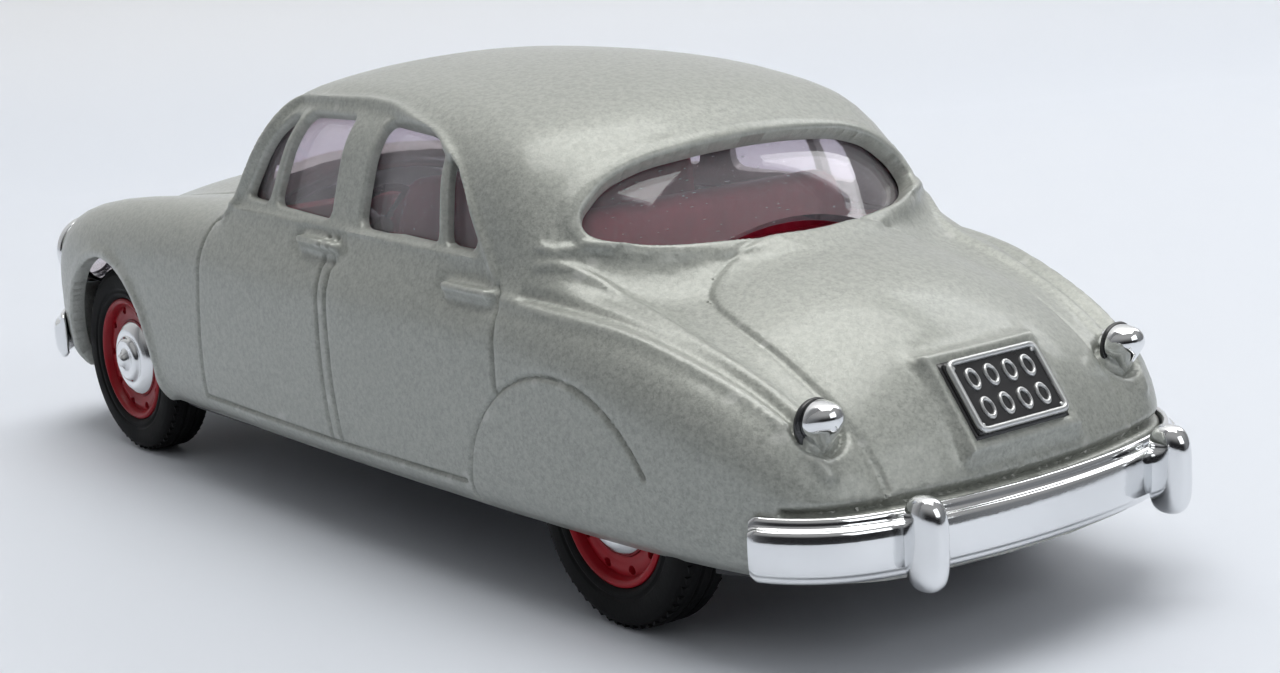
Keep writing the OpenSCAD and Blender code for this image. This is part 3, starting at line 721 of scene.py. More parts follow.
def trimMesh(points, tris, distance):
    # keeps the part where distance > 0, with new points on the zero line
    keep = distance > 0
    flags = keep[tris]
    total = flags.sum(1)
    whole = tris[total == 3]
    made, extra, out = {}, [], []

    def crossing(a, b):
        key = (a, b) if a < b else (b, a)
        if key not in made:
            t = distance[a] / (distance[a] - distance[b])
            made[key] = len(points) + len(extra)
            extra.append(points[a] + (points[b] - points[a]) * t)
        return made[key]

    part = (total == 1) | (total == 2)
    for tri, flag in zip(tris[part].tolist(), flags[part].tolist()):
        while not (flag[0] and not flag[2]):
            tri, flag = tri[1:] + tri[:1], flag[1:] + flag[:1]
        a, b, c = tri
        if flag[1]:
            bc, ac = crossing(b, c), crossing(a, c)
            out += [(a, b, bc), (a, bc, ac)]
        else:
            out.append((a, crossing(a, b), crossing(a, c)))
    points = np.vstack([points, extra]) if extra else points
    return points, np.vstack([whole, np.array(out, int).reshape(-1, 3)])


def keepUsed(points, tris):
    used = np.unique(tris)
    index = np.full(len(points), -1)
    index[used] = np.arange(len(used))
    return points[used], index[tris]


def closedShell(tris, count):
    # outer skin, inner skin turned over, and a wall along every open edge
    edges = dict.fromkeys(e for t in tris.tolist() for e in ((t[0], t[1]), (t[1], t[2]), (t[2], t[0])))
    faces = [tuple(t) for t in tris.tolist()]
    faces += [(a + count, c + count, b + count) for a, b, c in tris.tolist()]
    return faces + [(b, a, a + count, b + count) for a, b in edges if (b, a) not in edges]


def openingDistances(p):
    # distance outside each opening, with where it applies
    x, y, z = p.T
    far = np.full(len(p), 99.0)
    result = {}

    def put(name, region, values):
        d = far.copy()
        d[region] = values(region)
        result[name] = d

    for side, word in ((1, "left"), (-1, "right")):
        near = (y * side > 8) & (z > 21) & (z < 32)
        for key in ("frontLight", "frontWindow", "rearWindow", "rearLight"):
            put(key + word, near, lambda r, key=key: outlineDistance(p[r][:, [0, 2]], openings[key]))
        put("arch" + word, (y * side > 9) & (x > 20),
            lambda r: np.hypot(x[r] - wheels["frontX"], z[r] - wheels["axleZ"]) - wheels["archRadius"])
        put("headlamp" + word, (y * side > 5) & (x > 42),
            lambda r, side=side: np.hypot(y[r] - 13 * side, z[r] - 15) - 2.5)
    put("back", (x < -17) & (z > 21.5), lambda r: outlineDistance(p[r][:, [1, 2]], openings["backWindow"]))
    put("front", (x > 4) & (z > 23), lambda r: outlineDistance(p[r][:, [1, 2]], openings["windscreen"]))
    put("grille", (x > 45), lambda r: np.hypot(y[r], z[r] - 13.2) - 4.2)
    return result


def openingLines():
    lines = []
    for side in (1, -1):
        for key in ("frontLight", "frontWindow", "rearWindow", "rearLight"):
            lines.append((onSide(openings[key], side, closed=True), 0.15, 0.28))
        r = wheels["archRadius"]
        arc = [(wheels["frontX"] + r * math.cos(a), wheels["axleZ"] + r * math.sin(a))
               for a in np.radians(np.linspace(-14, 194, 60))]
        lines.append((onSide(arc, side), 0.24, 0.6))
    lines.append((onTail(openings["backWindow"], closed=True), 0.15, 0.4))
    screen = fineLine(openings["windscreen"], closed=True)
    start = np.stack([np.full(len(screen), 40.0), screen[:, 0], screen[:, 1]], -1)
    lines.append((firstHit(start, np.tile([-1.0, 0, 0], (len(screen), 1)), 36), 0.22, 0.3))
    return lines


bodyLook = {
    # height, half width and reach of each raised or sunk line, mm
    "ridges": {"rail": (0.30, 0.34, 1.2), "sill": (0.12, 0.28, 0.9), "ridge": (0.27, 0.40, 2.2),
               "valley": (-0.32, 0.5, 2.2), "brow": (0.29, 0.46, 2.2), "fold": (0.27, 0.36, 1.8)},
    # depth and half width of each cut line, mm
    "cuts": {"shut": (0.32, 0.145), "spat": (0.256, 0.145), "bonnet": (0.256, 0.145), "lid": (0.12, 0.3),
             "lamp": (0.5, 0.26), "gap": (0.7, 0.24)},
    "cutReach": 0.9,
    "frameRecess": 0.26,  # window field below the side
    "rimLift": 0.25,  # around the rear window
    "lidStep": 0.16,
    "lipRound": 0.24,
    "wall": 1.0,
}

sillZ = 22.55
fieldOutline = np.array(roundedProfile([
    (12.9, sillZ + 0.25), (13.2, 22.9), (8.75, 30.35), (7.8, 30.85), (-1.1, 30.85), (-5, 30.7), (-12, 29.35),
    (-15.2, 27.8), (-17.3, 25.9), (-19.3, 23.0), (-18.9, sillZ - 0.1), (-2.6, sillZ + 0.15)], 0.9, 4, closed=True))
railLine = roundedProfile([(14.6, 21.9), (13.9, 22.5), (8.9, 30.8), (-1.1, 31.15), (-5, 31.0), (-12, 29.6),
                       (-15.4, 27.95), (-17.5, 26.1), (-20.2, 22.7), (-21.8, 20.6)], 1.6, 5)
sillLine = [(15.5, sillZ + 0.35), (-2.6, sillZ + 0.2), (-19.5, sillZ - 0.15)]
doorLines = [
    [(14.6, 21.9), (16.3, 21.6), (16.8, 19.8), (17.3, 14), (17.9, 7.8)],
    [(-0.95, 22.0), (-1.2, 16), (-1.6, 7.8)],
    [(-2.15, 22.0), (-2.4, 16), (-2.9, 7.8)],
    [(-21.6, 21.0), (-22.2, 20.2), (-22.5, 18), (-22.75, 14.4)],
    [(17.9, 7.8), (-2, 7.65), (-18.3, 7.8)],
]
spatLine = [(-28.4 + 9.6 * math.cos(a), 6.2 + 10.0 * math.sin(a)) for a in np.radians(np.linspace(2, 150, 40))]
lidOutline = [(-31.2, 0), (-31.4, 5), (-32.0, 8.6), (-33.4, 10.3), (-37, 10.9), (-41, 11.0), (-45.2, 10.8),
              (-47.6, 10.5)]
lidTail = [(10.5, 13.6), (10.35, 12.3), (10.3, 11.0)]


deckLines = [
    ("ridge", [(-24.6, 16.6), (-27.0, 15.2), (-29.3, 14.2), (-35.3, 14.1), (-38.4, 13.9), (-44.6, 13.1)], 0.3, 0.7),
    ("valley", [(-24.5, 17.75), (-28.5, 16.9), (-34, 15.75), (-39, 14.8), (-44.6, 13.8)], 0.28, 0.7),
    ("brow", [(-22.4, 18.15), (-28.2, 17.85), (-33.8, 16.7), (-39.4, 15.7), (-45.1, 14.5), (-47.5, 13.4)], 0.3, 0.8),
]
foldLine = [(-24.4, 16.2), (-25.6, 15.6), (-28.2, 12), (-29.0, 6), (-29.2, 0), (-29.0, -6), (-28.2, -12),
            (-25.6, -15.6), (-24.4, -16.2)]
bonnetLine = [(19.6, 0), (19.9, 8), (21.5, 11.2), (26, 11.4), (38, 9.9), (45, 8.3), (47.6, 7.2), (48.4, 5), (48.6, 0)]


def bothSides(line):
    return [line, line * np.array([1.0, -1.0, 1.0])]


def featureLines():
    # every crease on the body as (name, points, edge size, band)
    found = []
    for line in doorLines:
        for side in (1, -1):
            found.append(("shut", onSide(roundedProfile(line, 1.4, 4), side), 0.17, 0.22))
    for side in (1, -1):
        found.append(("spat", onSide(spatLine, side), 0.17, 0.22))
        found.append(("rail", onSide(railLine, side), 0.2, 0.35))
        found.append(("sill", onSide(sillLine, side), 0.22, 0.3))
        for x, z in ((2.0, 21.5), (-16.8, 20.4)):
            found.append(("handle", onSide([(x, z), (x - 4.3, z - 0.1)], side), 0.17, 0.7))
    lid = np.vstack([onTop(smoothLine(lidOutline)), onTail(smoothLine(lidTail))])
    found += [("lid", line, 0.18, 0.3) for line in bothSides(lid)]
    for kind, line, size, band in deckLines:
        found += [(kind, points, size, band) for points in bothSides(onTop(smoothLine(line)))]
    found.append(("fold", onTop(smoothLine(foldLine)), 0.3, 0.6))
    bonnet = onTop(smoothLine(bonnetLine))
    found += [("bonnet", line, 0.2, 0.22) for line in bothSides(bonnet)]
    found.append(("rib", onTop([(20.5, 0), (47.8, 0)]), 0.28, 0.4))
    for side in (1, -1):
        middle = np.array(tailLamp["place"]) * (1, side, 1)
        ring = [middle + 1.55 * np.array([0.3 * math.cos(a), math.sin(a), math.cos(a)])
                for a in np.linspace(0, 6.28, 40)]
        found.append(("lamp", onBody(np.array(ring)), 0.16, 0.3))
    corners = [np.array(plateSetup["place"]) + plateDown * p + np.array([0, 1, 0]) * q
               for p, q in ((-2.95, -4.35), (2.95, -4.35), (2.95, 4.35), (-2.95, 4.35))]
    frameLine = fineLine(corners, 0.1, closed=True)
    found.append(("plinth", onBody(frameLine), 0.18, 0.5))
    found.append(("gap", onTail([(-16, 10.35), (16, 10.35)]), 0.2, 0.4))
    return found


def bell(distance, width):
    return np.exp(-(distance / width) ** 2)


def bodyDisplacement(p, lines, gaps, look):
    x, y, z = p.T
    lift = np.zeros(len(p))
    groove = np.zeros(len(p))
    lidDistance = np.full(len(p), 1e9)
    for kind, line, _, _ in lines:
        if kind in look["ridges"]:
            height, wide, reach = look["ridges"][kind]
            lift += height * bell(nearestOn(p, line, reach), wide)
        elif kind in look["cuts"]:
            depth, wide = look["cuts"][kind]
            d = nearestOn(p, line, look["cutReach"])
            groove = np.maximum(groove, depth * bell(d, wide))
            if kind == "lid":
                lidDistance = np.minimum(lidDistance, nearestOn(p, line, 1.0))
        elif kind == "handle":
            d = nearestOn(p, line, 1.6)
            lift += 0.62 * smoothStep(0.52 - d, 0, 0.34) - 0.22 * bell(d - 0.95, 0.42)
        elif kind == "rib":
            lift += 0.22 * smoothStep(0.5 - nearestOn(p, line, 0.9), 0, 0.4)
    # raised boot lid
    across = np.interp(-x, [-q[0] for q in lidOutline] + [48.5], [q[1] for q in lidOutline] + [10.4])
    inside = (np.abs(y) < across) & (z > 6) & (x < lidOutline[0][0])
    lift += look["lidStep"] * smoothStep(np.where(inside, lidDistance, -lidDistance), -0.3, 0.3)
    # window field between sill and drip rail
    for side in (1, -1):
        near = (y * side > 8) & (z > 21.5) & (z < 32) & (x > -22) & (x < 16)
        d = outlineDistance(p[near][:, [0, 2]], fieldOutline)
        lift[near] -= look["frameRecess"] * smoothStep(-d, -0.12, 0.22)

    def rim(name, height, wide, soft):
        return height * smoothStep(wide - gaps[name], 0, soft)

    lift += rim("back", look["rimLift"], 1.0, 0.4) + rim("front", 0.14, 0.8, 0.3)
    for word in ("left", "right"):
        lift += rim("arch" + word, 0.22, 1.0, 0.35)
    # flat seat for the rear plate, a little proud at the top and sides
    local = p - np.array(plateSetup["place"])
    edge = np.maximum(np.abs(local @ plateDown) - 2.75, np.abs(y) - 4.1)
    near = (edge < 1.6) & (x < -40)
    gap = -(local @ plateOut) + 0.18 * smoothStep(edge, -0.35, 0.05) * (1 - smoothStep(edge, 0.25, 0.6)) - 0.10
    normal = normalsOf(p[near])
    lift[near] += (np.clip(gap[near] / (normal @ plateOut), -0.8, 1.5)) * (1 - smoothStep(edge[near], 0.15, 1.15))
    lift -= groove
    # rounded lips at every opening
    nearest = np.min(np.stack(list(gaps.values())), 0)
    t = np.clip(nearest / look["lipRound"], 0, 1)
    lift -= look["lipRound"] * (1 - np.sqrt(np.clip(1 - (1 - t) ** 2, 0, 1)))
    return np.maximum(lift, -0.75)


def buildBody(look):
    points, tris = rayGrid(1.05, 25, 75)
    lines = featureLines()
    sizes = [(line, size, band) for _, line, size, band in lines] + openingLines()
    points, tris = refine(points, tris, sizes, 1.3, 14)
    print("body refined", len(points), len(tris))
    names = list(openingDistances(points[:1]).keys())
    for name in names:
        gaps = openingDistances(points)
        points, tris = trimMesh(points, tris, gaps[name])
    points, tris = keepUsed(points, tris)
    gaps = openingDistances(points)
    normal = normalsOf(points)
    rim = points[:, 2] < shape["rimZ"] + 1e-3
    normal[rim, 2] = 0
    normal[rim] /= np.linalg.norm(normal[rim], axis=1, keepdims=True)
    lift = bodyDisplacement(points, lines, gaps, look)
    lift -= 0.2 * (1 - np.sqrt(1 - (1 - np.clip((points[:, 2] - shape["rimZ"]) / 0.25, 0, 1)) ** 2))
    outside = points + normal * lift[:, None]
    inside = points - normal * look["wall"]
    # thinner beside the rear tyres and their caps
    away = np.hypot(points[:, 0] - wheels["rearX"], points[:, 2] - wheels["axleZ"])
    clear = np.where(away < 2.2, 17.75, 17.0)
    beside = (away < 8.6) & (np.abs(points[:, 1]) > 15)
    roomy = np.minimum(np.maximum(np.abs(inside[:, 1]), clear), np.abs(outside[:, 1]) - 0.22)
    inside[beside, 1] = (np.sign(points[:, 1]) * roomy)[beside]
    faces = closedShell(tris, len(points))
    print("body closed", len(faces))
    return np.vstack([outside, inside]), faces


bodyVerts, bodyFaces = buildBody(bodyLook)
bodyShell = makePiece("bodyCasting", bodyVerts, bodyFaces, [paint], "car", outward=False)
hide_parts("body_shell")
print("body built")

# ---- geometry node tools, turned into plain meshes ----


def newGrower(name, inputs):
    tree = bpy.data.node_groups.new(name, "GeometryNodeTree")
    for label, kind, value in inputs + [("Material", "NodeSocketMaterial", None)]:
        socket = tree.interface.new_socket(name=label, in_out="INPUT", socket_type=kind)
        if value is not None:
            socket.default_value = value
    tree.interface.new_socket(name="Geometry", in_out="OUTPUT", socket_type="NodeSocketGeometry")
    return tree, tree.nodes.new("NodeGroupInput")


def endGrower(tree, start, instances):
    real = tree.nodes.new("GeometryNodeRealizeInstances")
    tree.links.new(instances, real.inputs[0])
    finish = tree.nodes.new("GeometryNodeSetMaterial")
    tree.links.new(real.outputs[0], finish.inputs["Geometry"])
    tree.links.new(start.outputs["Material"], finish.inputs["Material"])
    tree.links.new(finish.outputs[0], tree.nodes.new("NodeGroupOutput").inputs[0])
    return tree


def makeRingGroup():
    # blocks set around a circle, each facing outwards
    tree, start = newGrower("blocksInRing", [
        ("Count", "NodeSocketInt", 40), ("Radius", "NodeSocketFloat", 0.007),
        ("Size", "NodeSocketVector", (0.001, 0.001, 0.001)), ("Twist", "NodeSocketFloat", 0.0)])
    ring = tree.nodes.new("GeometryNodeMeshCircle")
    tree.links.new(start.outputs["Count"], ring.inputs["Vertices"])
    tree.links.new(start.outputs["Radius"], ring.inputs["Radius"])
    block = tree.nodes.new("GeometryNodeMeshCube")
    tree.links.new(start.outputs["Size"], block.inputs["Size"])
    place = tree.nodes.new("GeometryNodeInstanceOnPoints")
    tree.links.new(ring.outputs["Mesh"], place.inputs["Points"])
    tree.links.new(block.outputs["Mesh"], place.inputs["Instance"])
    spot = tree.nodes.new("GeometryNodeInputPosition")
    turn = tree.nodes.new("FunctionNodeAlignRotationToVector")
    turn.axis, turn.pivot_axis = "X", "Z"
    tree.links.new(spot.outputs[0], turn.inputs["Vector"])
    tree.links.new(turn.outputs["Rotation"], place.inputs["Rotation"])
    twist = tree.nodes.new("GeometryNodeRotateInstances")
    both = tree.nodes.new("ShaderNodeCombineXYZ")
    tree.links.new(start.outputs["Twist"], both.inputs["X"])
    tree.links.new(place.outputs[0], twist.inputs["Instances"])
    tree.links.new(both.outputs[0], twist.inputs["Rotation"])
    return endGrower(tree, start, twist.outputs[0])


def makeRowGroup():
    # domes in a straight row along X
    tree, start = newGrower("partsInRow", [
        ("Count", "NodeSocketInt", 4), ("Step", "NodeSocketFloat", 0.001),
        ("Size", "NodeSocketVector", (0.001, 0.001, 0.001))])
    line = tree.nodes.new("GeometryNodeMeshLine")
    tree.links.new(start.outputs["Count"], line.inputs["Count"])
    step = tree.nodes.new("ShaderNodeCombineXYZ")
    tree.links.new(start.outputs["Step"], step.inputs["X"])
    tree.links.new(step.outputs[0], line.inputs["Offset"])
    dome = tree.nodes.new("GeometryNodeMeshUVSphere")
    for label, value in (("Segments", 14), ("Rings", 9), ("Radius", 1.0)):
        dome.inputs[label].default_value = value
    place = tree.nodes.new("GeometryNodeInstanceOnPoints")
    tree.links.new(line.outputs["Mesh"], place.inputs["Points"])
    tree.links.new(dome.outputs["Mesh"], place.inputs["Instance"])
    tree.links.new(start.outputs["Size"], place.inputs["Scale"])
    return endGrower(tree, start, place.outputs[0])


ringGroup = makeRingGroup()
rowGroup = makeRowGroup()


def grown(group, **values):
    # evaluates a node group once and gives its mesh as arrays in millimetres
    holder = bpy.data.objects.new("grower", bpy.data.meshes.new("grower"))
    scene.collection.objects.link(holder)
    modifier = holder.modifiers.new("grow", "NODES")
    modifier.node_group = group
    for item in group.interface.items_tree:
        if item.item_type == "SOCKET" and item.in_out == "INPUT" and item.name in values:
            modifier[item.identifier] = values[item.name]
    bpy.context.view_layer.update()
    seen = holder.evaluated_get(bpy.context.evaluated_depsgraph_get())
    mesh = bpy.data.meshes.new_from_object(seen)
    co = np.zeros(len(mesh.vertices) * 3)
    mesh.vertices.foreach_get("co", co)
    faces = [tuple(p.vertices) for p in mesh.polygons]
    bpy.data.meshes.remove(mesh)
    bpy.data.objects.remove(holder)
    return co.reshape(-1, 3) / mm, faces


# ---- glazing ----

glassLook = {"outerInset": 1.16, "thickness": 0.7, "low": 21.7, "front": 19.3, "rear": -30.4}


def buildGlazing(look):
    points, tris = rayGrid(0.8, 30, 95)
    x, z = points[:, 0], points[:, 2]
    keep = np.minimum(np.minimum(z - look["low"], look["front"] - x), x - look["rear"])
    points, tris = keepUsed(*trimMesh(points, tris, keep))
    normal = normalsOf(points)
    outside = points - normal * look["outerInset"]
    inside = points - normal * (look["outerInset"] + look["thickness"])
    return np.vstack([outside, inside]), closedShell(tris, len(points))


glassVerts, glassFaces = buildGlazing(glassLook)
glazing = makePiece("glazing", glassVerts, glassFaces, [glass], "car", outward=False)
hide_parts("window_unit")
print("glazing built")

# ---- interior ----


def roundedBox(low, high, radius, step=0.5, shapeBy=None):
    # a closed box with round edges, its grid fine enough to be pressed into other shapes
    low, high = np.array(low, float), np.array(high, float)
    counts = np.maximum(3, ((high - low) / step).astype(int))
    verts, faces = [], []
    for axis in range(3):
        u, v = (axis + 1) % 3, (axis + 2) % 3
        for end in (0, 1):
            gu, gv = np.meshgrid(np.linspace(0, 1, counts[u] + 1), np.linspace(0, 1, counts[v] + 1), indexing="ij")
            p = np.zeros(gu.shape + (3,))
            p[..., u] = low[u] + gu * (high[u] - low[u])
            p[..., v] = low[v] + gv * (high[v] - low[v])
            p[..., axis] = high[axis] if end else low[axis]
            n, m = gu.shape
            quads = gridFaces(n, m, len(verts))
            faces += [tuple(q if end else q[::-1]) for q in quads.tolist()]
            verts += p.reshape(-1, 3).tolist()
    verts = np.array(verts)
    core = np.clip(verts, low + radius, high - radius)
    away = verts - core
    length = np.linalg.norm(away, axis=1, keepdims=True)
    verts = core + away / np.maximum(length, 1e-9) * radius
    if shapeBy:
        verts = shapeBy(verts)
    return verts, faces


def gridFaces(n, m, base=0):
    i, j = np.meshgrid(np.arange(n - 1), np.arange(m - 1), indexing="ij")
    a = (i * m + j).ravel() + base
    return np.stack([a, a + m, a + m + 1, a + 1], -1)


seatLook = {"pleatStep": 1.15, "pleatDepth": 0.13, "lean": 0.16}


def pleats(v, amount, across, low, high):
    wave = np.abs(np.sin(np.pi * (v[:, 1] - across) / seatLook["pleatStep"])) - 0.5
    hold = smoothStep(v[:, 1], low, low + 1.2) * (1 - smoothStep(v[:, 1], high - 1.2, high))
    return amount * wave * hold


def seatBack(x, y0, y1, top, thick=3.2):
    def press(v):
        v = v.copy()
        middle = (y0 + y1) / 2
        v[:, 1] = middle + (v[:, 1] - middle) * (1 - 0.16 * smoothStep(v[:, 2], top - 5, top))
        v[:, 0] += pleats(v, seatLook["pleatDepth"], y0, y0 + 0.8, y1 - 0.8) * np.where(v[:, 0] > x, 1, -1)
        v[:, 0] += -(v[:, 2] - 12) * seatLook["lean"] + 1.6
        return v

    return roundedBox((x - thick / 2, y0, 9.5), (x + thick / 2, y1, top), 1.35, 0.36, press)


def cushionShape(low, high, radius=1.3):
    def press(v):
        v = v.copy()
        up = smoothStep(v[:, 2], high[2] - 1.2, high[2])
        v[:, 2] += pleats(v, seatLook["pleatDepth"], low[1], low[1] + 0.8, high[1] - 0.8) * up
        return v

    return roundedBox(low, high, radius, 0.4, press)


def openBox(low, high, wall):
    # a tray with a floor and four walls
    a, b = np.array(low, float), np.array(high, float)
    v = [(a[0], a[1]), (b[0], a[1]), (b[0], b[1]), (a[0], b[1])]
    c, d = a + wall, b - wall
    w = [(c[0], c[1]), (d[0], c[1]), (d[0], d[1]), (c[0], d[1])]
    verts = [(x, y, a[2]) for x, y in v] + [(x, y, b[2]) for x, y in v]
    verts += [(x, y, b[2]) for x, y in w] + [(x, y, a[2] + wall) for x, y in w]
    faces = [(3, 2, 1, 0)]
    for k in range(4):
        n = (k + 1) % 4
        faces += [(k, n, n + 4, k + 4), (k + 4, n + 4, n + 8, k + 8), (k + 8, n + 8, n + 12, k + 12)]
    faces.append((12, 13, 14, 15))
    return np.array(verts), faces


def buildInterior():
    parts = [openBox((-22.0, -14.5, 6.5), (15.4, 14.5, 21.0), 0.8)]
    for y in (-12.9, 1.4):
        parts.append(cushionShape((-2.4, y, 8), (7, y + 11.5, 13.6)))
        parts.append(seatBack(-3.2, y, y + 11.5, 25.4))
    parts.append(cushionShape((-19.5, -13.4, 8), (-10.6, 13.4, 13.8)))
    parts.append(seatBack(-20.4, -13.2, 13.2, 24.5, 3.4))
    parts.append(roundedBox((-28.5, -13, 20.35), (-21.6, 13, 21.1), 0.3, 1.2))
    parts.append(roundedBox((-21.0, -2.2, 7.2), (15.0, 2.2, 11.2), 0.7, 0.8))
    return joinMeshes(parts)


v, f, _ = buildInterior()
interior = makePiece("interior", v, f, [redTrim], "car", sharp=45, outward=False)
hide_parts("interior_tub")


def buildDash():
    parts = [roundedBox((11.6, -13.5, 18.4), (13.7, 13.5, 22.2), 0.7, 0.6),
             roundedBox((11.2, -4.6, 18.9), (11.9, 4.6, 21.7), 0.25, 0.4)]
    dial = turned([(0, 0), (0.95, 0), (0.92, 0.3), (0.66, 0.3), (0.62, 0.12), (0, 0.12)], 0.06, 40)
    for y in (-3, 0, 3):
        turn = Matrix.Translation((11.22, y, 20.3)) @ Matrix.Rotation(math.radians(-90), 4, "Y")
        parts.append((placed(dial[0], turn), dial[1], 1))
    return joinMeshes(parts)


v, f, marks = buildDash()
dash = makePiece("dashPanel", v, f, [redTrim, steel], "car", marks, sharp=40, outward=False)
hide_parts("dashboard")


def torus(radius, tube, count=72, around=16):
    a = np.linspace(0, 2 * math.pi, count, endpoint=False)
    b = np.linspace(0, 2 * math.pi, around, endpoint=False)
    verts = [((radius + tube * math.cos(q)) * math.cos(p), (radius + tube * math.cos(q)) * math.sin(p), tube * math.sin(q))
             for p in a for q in b]
    faces = [(i * around + j, ((i + 1) % count) * around + j, ((i + 1) % count) * around + (j + 1) % around,
              i * around + (j + 1) % around) for i in range(count) for j in range(around)]
    return np.array(verts), faces


def buildWheelHandle():
    parts = [torus(3.3, 0.30)]
    for angle in (0, 120, 240):
        bar = roundedBox((0.3, -0.24, -0.14), (3.2, 0.24, 0.14), 0.1, 0.3)
        parts.append((placed(bar[0], Matrix.Rotation(math.radians(angle + 90), 4, "Z")), bar[1]))
    parts.append(turned([(0, -0.4), (0.78, -0.4), (0.78, 0.3), (0.44, 0.42), (0.44, 4.3), (0, 4.3)], 0.1, 32))
    v, f, _ = joinMeshes(parts)
    return placed(v, Matrix.Translation((9.2, 7, 20.2)) @ Matrix.Rotation(math.radians(65), 4, "Y")), f


v, f = buildWheelHandle()
steering = makePiece("steeringWheel", v, f, [plateBlack], "car", sharp=40, outward=False)
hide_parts("steering_wheel")
print("interior built")

# ---- bumpers ----

bumperLook = {
    "profile": [(0.3, -1.55), (0.5, -1.85), (0.85, -1.93), (1.05, -1.75), (1.12, -1.5), (1.3, -1.32),
                (1.42, -0.8), (1.48, -0.1), (1.46, 0.6), (1.36, 1.12), (1.22, 1.3), (0.98, 1.36), (0.84, 1.5),
                (0.8, 1.75), (0.66, 1.93), (0.5, 1.96), (0.3, 1.8)],
    "shadeBackReach": 0.42,  # mm from the body; the back of the blade within this is painted black as painted shade between blade and body
    "z": 8.3,
    "firstTurn": {-1: 40.5, 1: 43.5},
    "overriderY": 10.4,
}


def buildBumper(end, look):
    first = look["firstTurn"][end]
    turns = np.radians(np.linspace(first, 180 - first, 190))
    profile = np.array(roundedProfile(look["profile"], 0.08, 2, closed=True))
    middle = profile.mean(0)
    fold = np.minimum(turns, math.pi - turns)
    tilt = math.radians(8)
    start = np.tile([30.0 * end, 0, shape["rimZ"]], (len(turns), 1))
    direction = np.stack([np.sin(fold) * end, np.cos(fold) * math.cos(tilt), np.cos(fold) * math.sin(tilt)], -1)
    reach = np.linalg.norm(castOut(start, direction) - start, axis=1) * math.cos(tilt)
    rings = []
    for k, (turn, r) in enumerate(zip(turns, reach)):
        edge = min(k, len(turns) - 1 - k)
        shrink = 0.84 if edge == 0 else 0.95 if edge == 1 else 1.0
        p = middle + (profile - middle) * shrink
        rings.append(np.stack([end * 30 + (r + p[:, 0]) * math.sin(turn) * end, (r + p[:, 0]) * math.cos(turn) * end,
                               look["z"] + p[:, 1]], -1))
    m = len(profile)
    faces = sweptFaces(len(rings), m, caps=True)
    # back faces of the blade get the black material: painted shade in the gap to the body
    hidden = [max(profile[k % m][0] for k in q) < look["shadeBackReach"] for q in faces]
    parts = [(np.vstack(rings), [q for q, dark in zip(faces, hidden) if dark == mark], mark) for mark in (0, 1)]
    for side in (1, -1):
        ring = []
        for t in np.linspace(-1, 1, 41):
            wide = (1 - abs(t) ** 4.5) ** (1 / 2.3)
            for a in np.linspace(0, 2 * math.pi, 36, endpoint=False):
                ca, sa = math.cos(a), math.sin(a)
                bulge = 1.0 + 0.14 * max(0.0, ca) ** 6 * (1 - t * t)
                ring.append((end * 52.1 + end * 1.36 * wide * bulge * np.sign(ca) * abs(ca) ** 0.85,
                             side * look["overriderY"] + 1.02 * wide * np.sign(sa) * abs(sa) ** 0.8,
                             look["z"] + 0.25 + 2.85 * t))
        faces = sweptFaces(41, 36)
        if end < 0:
            faces = [q[::-1] for q in faces]
        parts.append((np.array(ring), faces))
    return joinMeshes(parts)


for end, word in ((-1, "rear"), (1, "front")):
    v, f, marks = buildBumper(end, bumperLook)
    bumper = makePiece(word + "BumperBlade", v, f, [chrome, plateBlack], "car", marks, sharp=38)
    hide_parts(word + "_bumper")
print("bumpers built")

# ---- wheels ----

tyreLook = {"radius": 7.8, "width": 3.8, "blocks": 58, "block": (0.34, 0.5, 0.62)}
rimLook = {"radius": 5.1, "cap": 3.2, "holes": 10, "holeAt": 4.08, "holeRadius": 0.27}


def buildTyre(look, rim):
    r, w = look["radius"], look["width"]
    edge = rim["radius"] - 0.02
    section = [(edge, -0.42), (5.35, -0.18), (5.6, -0.12), (5.7, -0.2), (5.85, -0.2), (5.95, -0.08), (6.6, -0.06),
               (7.05, -0.12), (7.4, -0.34), (7.62, -0.72), (r - 0.04, -0.95), (r, -1.35), (r - 0.02, -1.5),
               (r - 0.22, -1.55), (r - 0.22, -1.75), (r - 0.02, -1.8), (r, -2.3), (r - 0.02, -2.4),
               (r - 0.22, -2.45), (r - 0.22, -2.65), (r - 0.02, -2.7), (r, -3.3), (7.5, -3.65),
               (6.9, 0.03 - w), (5.9, 0.03 - w), (edge, 0.3 - w)]
    parts = [turned(section, 0.08, 128, 2, closed=True)]
    for depth, twist in ((-0.86, 0.28), (3.0 - w - 2.35, -0.28)):
        v, f = grown(ringGroup, Count=look["blocks"], Radius=(r - 0.26) * mm, Size=[s * mm for s in look["block"]],
                     Twist=twist, Material=rubber)
        v = v + np.array([0, 0, depth])
        far = np.hypot(v[:, 0], v[:, 1])
        v[:, :2] *= np.minimum(1, (r - 0.015) / far)[:, None]
        parts.append((v, f))
    return joinMeshes(parts)


